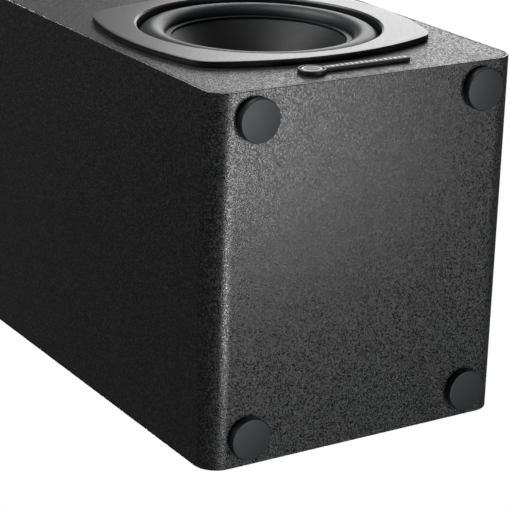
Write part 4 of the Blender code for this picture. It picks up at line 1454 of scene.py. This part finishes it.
    def build_rocker(self) -> None:
        """The rocker: a round belly under two shallow slopes, tilted to its rest and carried upwards."""
        turn = np.linspace(math.radians(-50), math.radians(28), 15)
        right = self.rocker_reach * np.stack([np.cos(turn), np.sin(turn)], axis=1)
        section = np.concatenate([right, [(0.0, self.rocker_valley)], right[::-1] * np.array([-1, 1])])
        cosine, sine = math.cos(self.rocker_tilt), math.sin(self.rocker_tilt)
        section = section @ np.array([[cosine, sine], [-sine, cosine]])
        stations, scale = np.array([-5.0, -4.8, 4.8, 5.0]) * MM, np.array([0.985, 1.0, 1.0, 0.985])
        joint = next(joint for joint in frame["joints"] if joint["name"] == "power_rock")
        pivot = self.face.local(joint["pos_m"])
        face = self.face.at(pivot[0], self.face.local(centre_of("power_rocker"))[1], pivot[2])
        label = Label("rocker_cap", Slot.BLACK_PLASTIC, Body.POWER, ("power_rocker",), sharp=25.0)
        self.shop.from_grid(label, carried(section, stations, scale), face, caps=True)

    def build_phase_lever(self) -> None:
        """The slide lever: a small block with rounded shoulders and three finger ridges."""
        width, height, low, high = self.span("phase_lever")
        middle = 0.5 * height
        section = filleted([(0.0, low, 0.0), (0.0, high, 0.5 * MM), (middle, high, 0.0)])
        rows = inset_rows(width, height, 0.4 * MM, np.concatenate([[(middle, low)], section]))
        face = self.face_at("phase_lever")
        label = Label("phase_lever_cap", Slot.WHITE_PLASTIC, Body.PHASE, ("phase_lever",))
        self.shop.from_grid(label, rounded_loops(rows, 4), face)
        place = np.array([-1.0, 0.0, 1.0]) * MM
        ridges = (place, 0.0, 0.0, 0.4 * MM, 2.2 * MM, high - 0.1 * MM, high + 0.15 * MM)
        self.shop.bars(Label("phase_lever_ridges", Slot.WHITE_PLASTIC, Body.PHASE), face, *ridges)

    def build_lens(self) -> None:
        """The light's lens: a small domed pin of tinted acrylic."""
        width, _, low, high = self.span("light_lens")
        radius = width / 2
        corners = [(0.0, low, 0.0), (radius, low, 0.1 * MM), (radius, high, 1.2 * MM), (0.0, high, 0.0)]
        label = Label("light_pipe", Slot.CLEAR_PLASTIC, replaces=("light_lens",))
        self.shop.turn(label, corners, self.face_at("light_lens"), 48)

    def build_heat_sink(self) -> None:
        """The heat sink: a comb with rounded fin tips and roots, carried upwards."""
        _, height, low, high = self.span("heat_sink")
        base = low + self.sink_base
        half = (self.fin_pitch * (self.fins - 1) + self.fin) / 2
        corners = [(half, low, 0.2 * MM), (-half, low, 0.2 * MM)]
        for left in -half + self.fin_pitch * np.arange(self.fins):
            right = left + self.fin
            corners += [(left, base, 1.0 * MM), (left + 0.2 * MM, high, 0.6 * MM)]
            corners += [(right - 0.2 * MM, high, 0.6 * MM), (right, base, 1.0 * MM)]
        comb = filleted(corners[:2] + corners[3:-1], closed=True, steps=4)
        grid = carried(comb, np.array([-0.5, 0.5]) * height, np.ones(2))
        label = Label("heat_sink_fins", Slot.BLACK_ALUMINIUM, replaces=("heat_sink",))
        self.shop.from_grid(label, grid, self.face_at("heat_sink"), caps=True)

    def build_screw(self, node: str) -> None:
        """A pan-head screw: a turned profile whose recess widens into four lobes.

        Args:
            node: the screw's CAD node.
        """
        width, _, low, high = self.span(node)
        head = width / 2
        corners = [
            (0.0, low, 0.0),
            (self.screw_shank, low + 1.6 * MM, 0.0),
            (self.screw_shank, self.seat, 0.0),
            (head, self.seat, 0.15 * MM),
            (head, self.seat + 0.7 * MM, 0.4 * MM),
            (0.62 * head, high, 0.5 * MM),
            (self.recess, high, 0.1 * MM),
            (0.6 * self.recess, high - 1.2 * MM, 0.1 * MM),
            (0.0, high - 1.3 * MM, 0.0),
        ]
        cross = 0.35 + 0.65 * np.abs(np.cos(2 * round_turn(self.segments))) ** 3
        recess = Lobes(cross, (0.0, self.recess + 0.05 * MM), self.seat)
        label = Label(f"{node}_head", Slot.BARE_STEEL, replaces=(node,))
        self.shop.turn(label, corners, self.face_at(node), self.segments, lobes=recess)

    def build_bolt(self) -> None:
        """The transformer's bolt: a dome-edged head with a six-sided socket, and a clamping washer."""
        node = "transformer_bolt"
        width, _, low, high = self.span(node)
        head, shank, socket = self.bolt_head, self.bolt_shank, self.bolt_socket
        washer, washer_low = width / 2, low + self.washer_place
        washer_high = washer_low + self.washer_height
        corners = [
            (0.0, low, 0.0),
            (shank, low, 0.3 * MM),
            (shank, washer_low, 0.0),
            (washer, washer_low, 0.2 * MM),
            (washer, washer_high, 0.2 * MM),
            (shank, washer_high, 0.0),
            (shank, self.seat, 0.0),
            (head, self.seat, 0.2 * MM),
            (head, self.seat + 1.6 * MM, 1.0 * MM),
            (head - 1.6 * MM, high, 0.5 * MM),
            (socket + 0.2 * MM, high, 0.1 * MM),
            (socket, high - 0.2 * MM, 0.1 * MM),
            (socket, high - 1.8 * MM, 0.1 * MM),
            (0.0, high - 1.8 * MM, 0.0),
        ]
        key = Lobes(0.95 * hexagon(self.segments), (0.0, socket + 0.1 * MM), self.seat)
        label = Label("transformer_bolt_head", Slot.BARE_STEEL, replaces=(node,))
        self.shop.turn(label, corners, self.face_at(node), self.segments, lobes=key)

    def build_print(self) -> None:
        """The print on the plate: scales round the knobs, and lines that group the sockets."""
        angle = np.radians(np.linspace(-150.0, 150.0, self.dial_marks))
        tall = np.where(np.arange(self.dial_marks) % 5 == 0, 2.6, 1.6) * MM
        out = self.dial_radius + tall / 2
        marks = []
        for name in ("level", "crossover"):
            x, y, _ = self.face.local(centre_of(f"{name}_knob"))
            thin = np.full(self.dial_marks, 0.45 * MM)
            marks.append(np.stack([x + out * np.sin(angle), y + out * np.cos(angle), -angle, thin, tall]))
        left, right = self.print_sides
        top, _, bottom = self.print_heights
        line = self.print_line
        level = [((left + right) / 2, y, 0.0, right - left, line) for y in self.print_heights]
        upright = [(x, (top + bottom) / 2, 0.0, line, top - bottom) for x in self.print_sides]
        marks.append(np.array(level + upright).T)
        levels = (self.plate_top - 0.02 * MM, self.plate_top + self.print_height)
        label = Label("panel_print", Slot.WHITE_PLASTIC)
        self.shop.bars(label, self.face, *np.concatenate(marks, axis=1), *levels)


# ---------------------------------------------------------------------------------------------
# The studio


@dataclass(frozen=True)
class Softbox:
    """A square studio light that faces a point."""

    name: str
    place: tuple[float, float, float]
    target: tuple[float, float, float]
    size: tuple[float, float]
    power: float

    def build(self) -> None:
        """Adds the light and turns it to its target."""
        light = bpy.data.lights.new(self.name, "AREA")
        light.shape = "RECTANGLE"
        light.size, light.size_y = self.size
        light.energy = self.power
        lamp = bpy.data.objects.new(self.name, light)
        lamp.location = self.place
        lamp.rotation_euler = (Vector(self.target) - Vector(self.place)).to_track_quat("-Z", "Y").to_euler()
        bpy.context.scene.collection.objects.link(lamp)
        log.info("light %s", self.name)


@dataclass
class Studio:
    """A pale floor, soft lights and the camera, which looks up at the base from below the floor."""

    target: tuple[float, float, float] = (-0.0723, -0.0224, 0.0055)
    azimuth: float = -56.58
    elevation: float = -53.01
    distance: float = 1.1164
    roll: float = 1.63
    lens: float = 146.35
    backdrop: str = "#FFFFFF"
    floor_colour: str = "#E2E2E0"
    floor_shade: str = "#7C7C7A"
    ambient: float = 0.07
    floor_reach: float = 6.0
    far_clip: float = 50.0
    softboxes: tuple[Softbox, ...] = (
        Softbox("softbox_under", (0.33, 0.03, -1.0), (0.0, -0.02, 0.0), (0.42, 0.42), 6.1),
        Softbox("softbox_edge", (-0.06, 0.34, -1.0), (0.0, -0.02, 0.0), (0.28, 0.28), 4.5),
        Softbox("softbox_sheen", (1.08, -0.5, 1.25), (0.0, -0.1, 0.12), (1.2, 0.8), 12.0),
        Softbox("softbox_front", (-0.35, -1.7, 0.9), (0.0, 0.0, 0.16), (1.0, 1.0), 22.0),
        Softbox("softbox_left", (-1.6, -1.0, 0.5), (0.0, 0.0, 0.16), (1.0, 1.0), 9.0),
        Softbox("softbox_top", (0.65, 0.3, 1.8), (0.0, 0.0, 0.2), (1.0, 1.0), 22.0),
        Softbox("softbox_rear", (0.8, 1.2, 1.6), (0.0, 0.1, 0.16), (0.9, 0.9), 24.0),
    )

    def build(self) -> None:
        """Builds the camera, world, floor and lights."""
        self.build_camera()
        self.build_world()
        self.build_floor()
        for softbox in self.softboxes:
            softbox.build()
        bpy.context.scene.view_settings.view_transform = "Standard"

    def build_camera(self) -> None:
        """Sets the camera on a sphere round its target, with the front's direction up in its view."""
        azimuth, elevation = math.radians(self.azimuth), math.radians(self.elevation)
        flat = math.cos(elevation)
        back = Vector((math.sin(azimuth) * flat, -math.cos(azimuth) * flat, math.sin(elevation)))
        right = Vector((0.0, -1.0, 0.0)).cross(back).normalized()
        turn = Matrix.Rotation(math.radians(self.roll), 3, back)
        right = turn @ right
        upward = back.cross(right)
        camera = bpy.data.objects.new("camera", bpy.data.cameras.new("camera"))
        camera.data.lens = self.lens
        camera.data.clip_end = self.far_clip
        axes = Matrix((right, upward, back)).transposed().to_4x4()
        place = Vector(self.target) + self.distance * back
        camera.matrix_world = Matrix.Translation(place) @ axes
        bpy.context.scene.collection.objects.link(camera)
        bpy.context.scene.camera = camera

    def build_world(self) -> None:
        """A world that is white behind the object and only a dim, even glow on it."""
        world = bpy.data.worlds.new("studio")
        world.use_nodes = True
        tree = world.node_tree
        tree.nodes.clear()
        seen = add_node(tree, "ShaderNodeLightPath").outputs["Is Camera Ray"]
        white = {"Color": linear(self.backdrop), "Strength": 1.0}
        glow = {"Color": linear(self.backdrop), "Strength": self.ambient}
        shown = add_node(tree, "ShaderNodeBackground", None, white).outputs[0]
        dim = add_node(tree, "ShaderNodeBackground", None, glow).outputs[0]
        both = add_node(tree, "ShaderNodeMixShader", None, {0: seen, 1: dim, 2: shown}).outputs[0]
        add_node(tree, "ShaderNodeOutputWorld", None, {"Surface": both})
        bpy.context.scene.world = world

    def build_floor(self) -> None:
        """A floor that shows only from above, and lets the light under it reach the object."""
        material = bpy.data.materials.new("matt_studio_floor")
        material.use_nodes = True
        tree = material.node_tree
        tree.nodes.clear()
        below = add_node(tree, "ShaderNodeNewGeometry").outputs["Backfacing"]
        lit = add_node(tree, "ShaderNodeBsdfDiffuse", None, {"Color": linear(self.floor_shade)}).outputs[0]
        even = {"Color": linear(self.floor_colour), "Strength": 1.0}
        glow = add_node(tree, "ShaderNodeEmission", None, even).outputs[0]
        matt = add_node(tree, "ShaderNodeAddShader", None, {0: lit, 1: glow}).outputs[0]
        clear = add_node(tree, "ShaderNodeBsdfTransparent").outputs[0]
        both = add_node(tree, "ShaderNodeMixShader", None, {0: below, 1: matt, 2: clear}).outputs[0]
        add_node(tree, "ShaderNodeOutputMaterial", None, {"Surface": both})
        reach = self.floor_reach
        mesh = bpy.data.meshes.new("floor")
        corners = [(-reach, -reach, 0.0), (reach, -reach, 0.0), (reach, reach, 0.0), (-reach, reach, 0.0)]
        mesh.from_pydata(corners, [], [(0, 1, 2, 3)])
        mesh.materials.append(material)
        floor = bpy.data.objects.new("floor", mesh)
        bpy.context.scene.collection.objects.link(floor)
        floor.visible_diffuse = False
        floor.visible_glossy = False
        floor.visible_shadow = False


def main() -> None:
    """Builds the studio and every sub-assembly."""
    logging.basicConfig(level=logging.INFO, format="%(message)s")
    Studio().build()
    shop = Workshop()
    shop.dress_frame()
    for assembly in (Cabinet, FrontTrim, Badge, Port, Driver, Amplifier):
        assembly(shop).build()
    log.info("%d new pieces", shop.count)


if __name__ == "__main__":
    main()
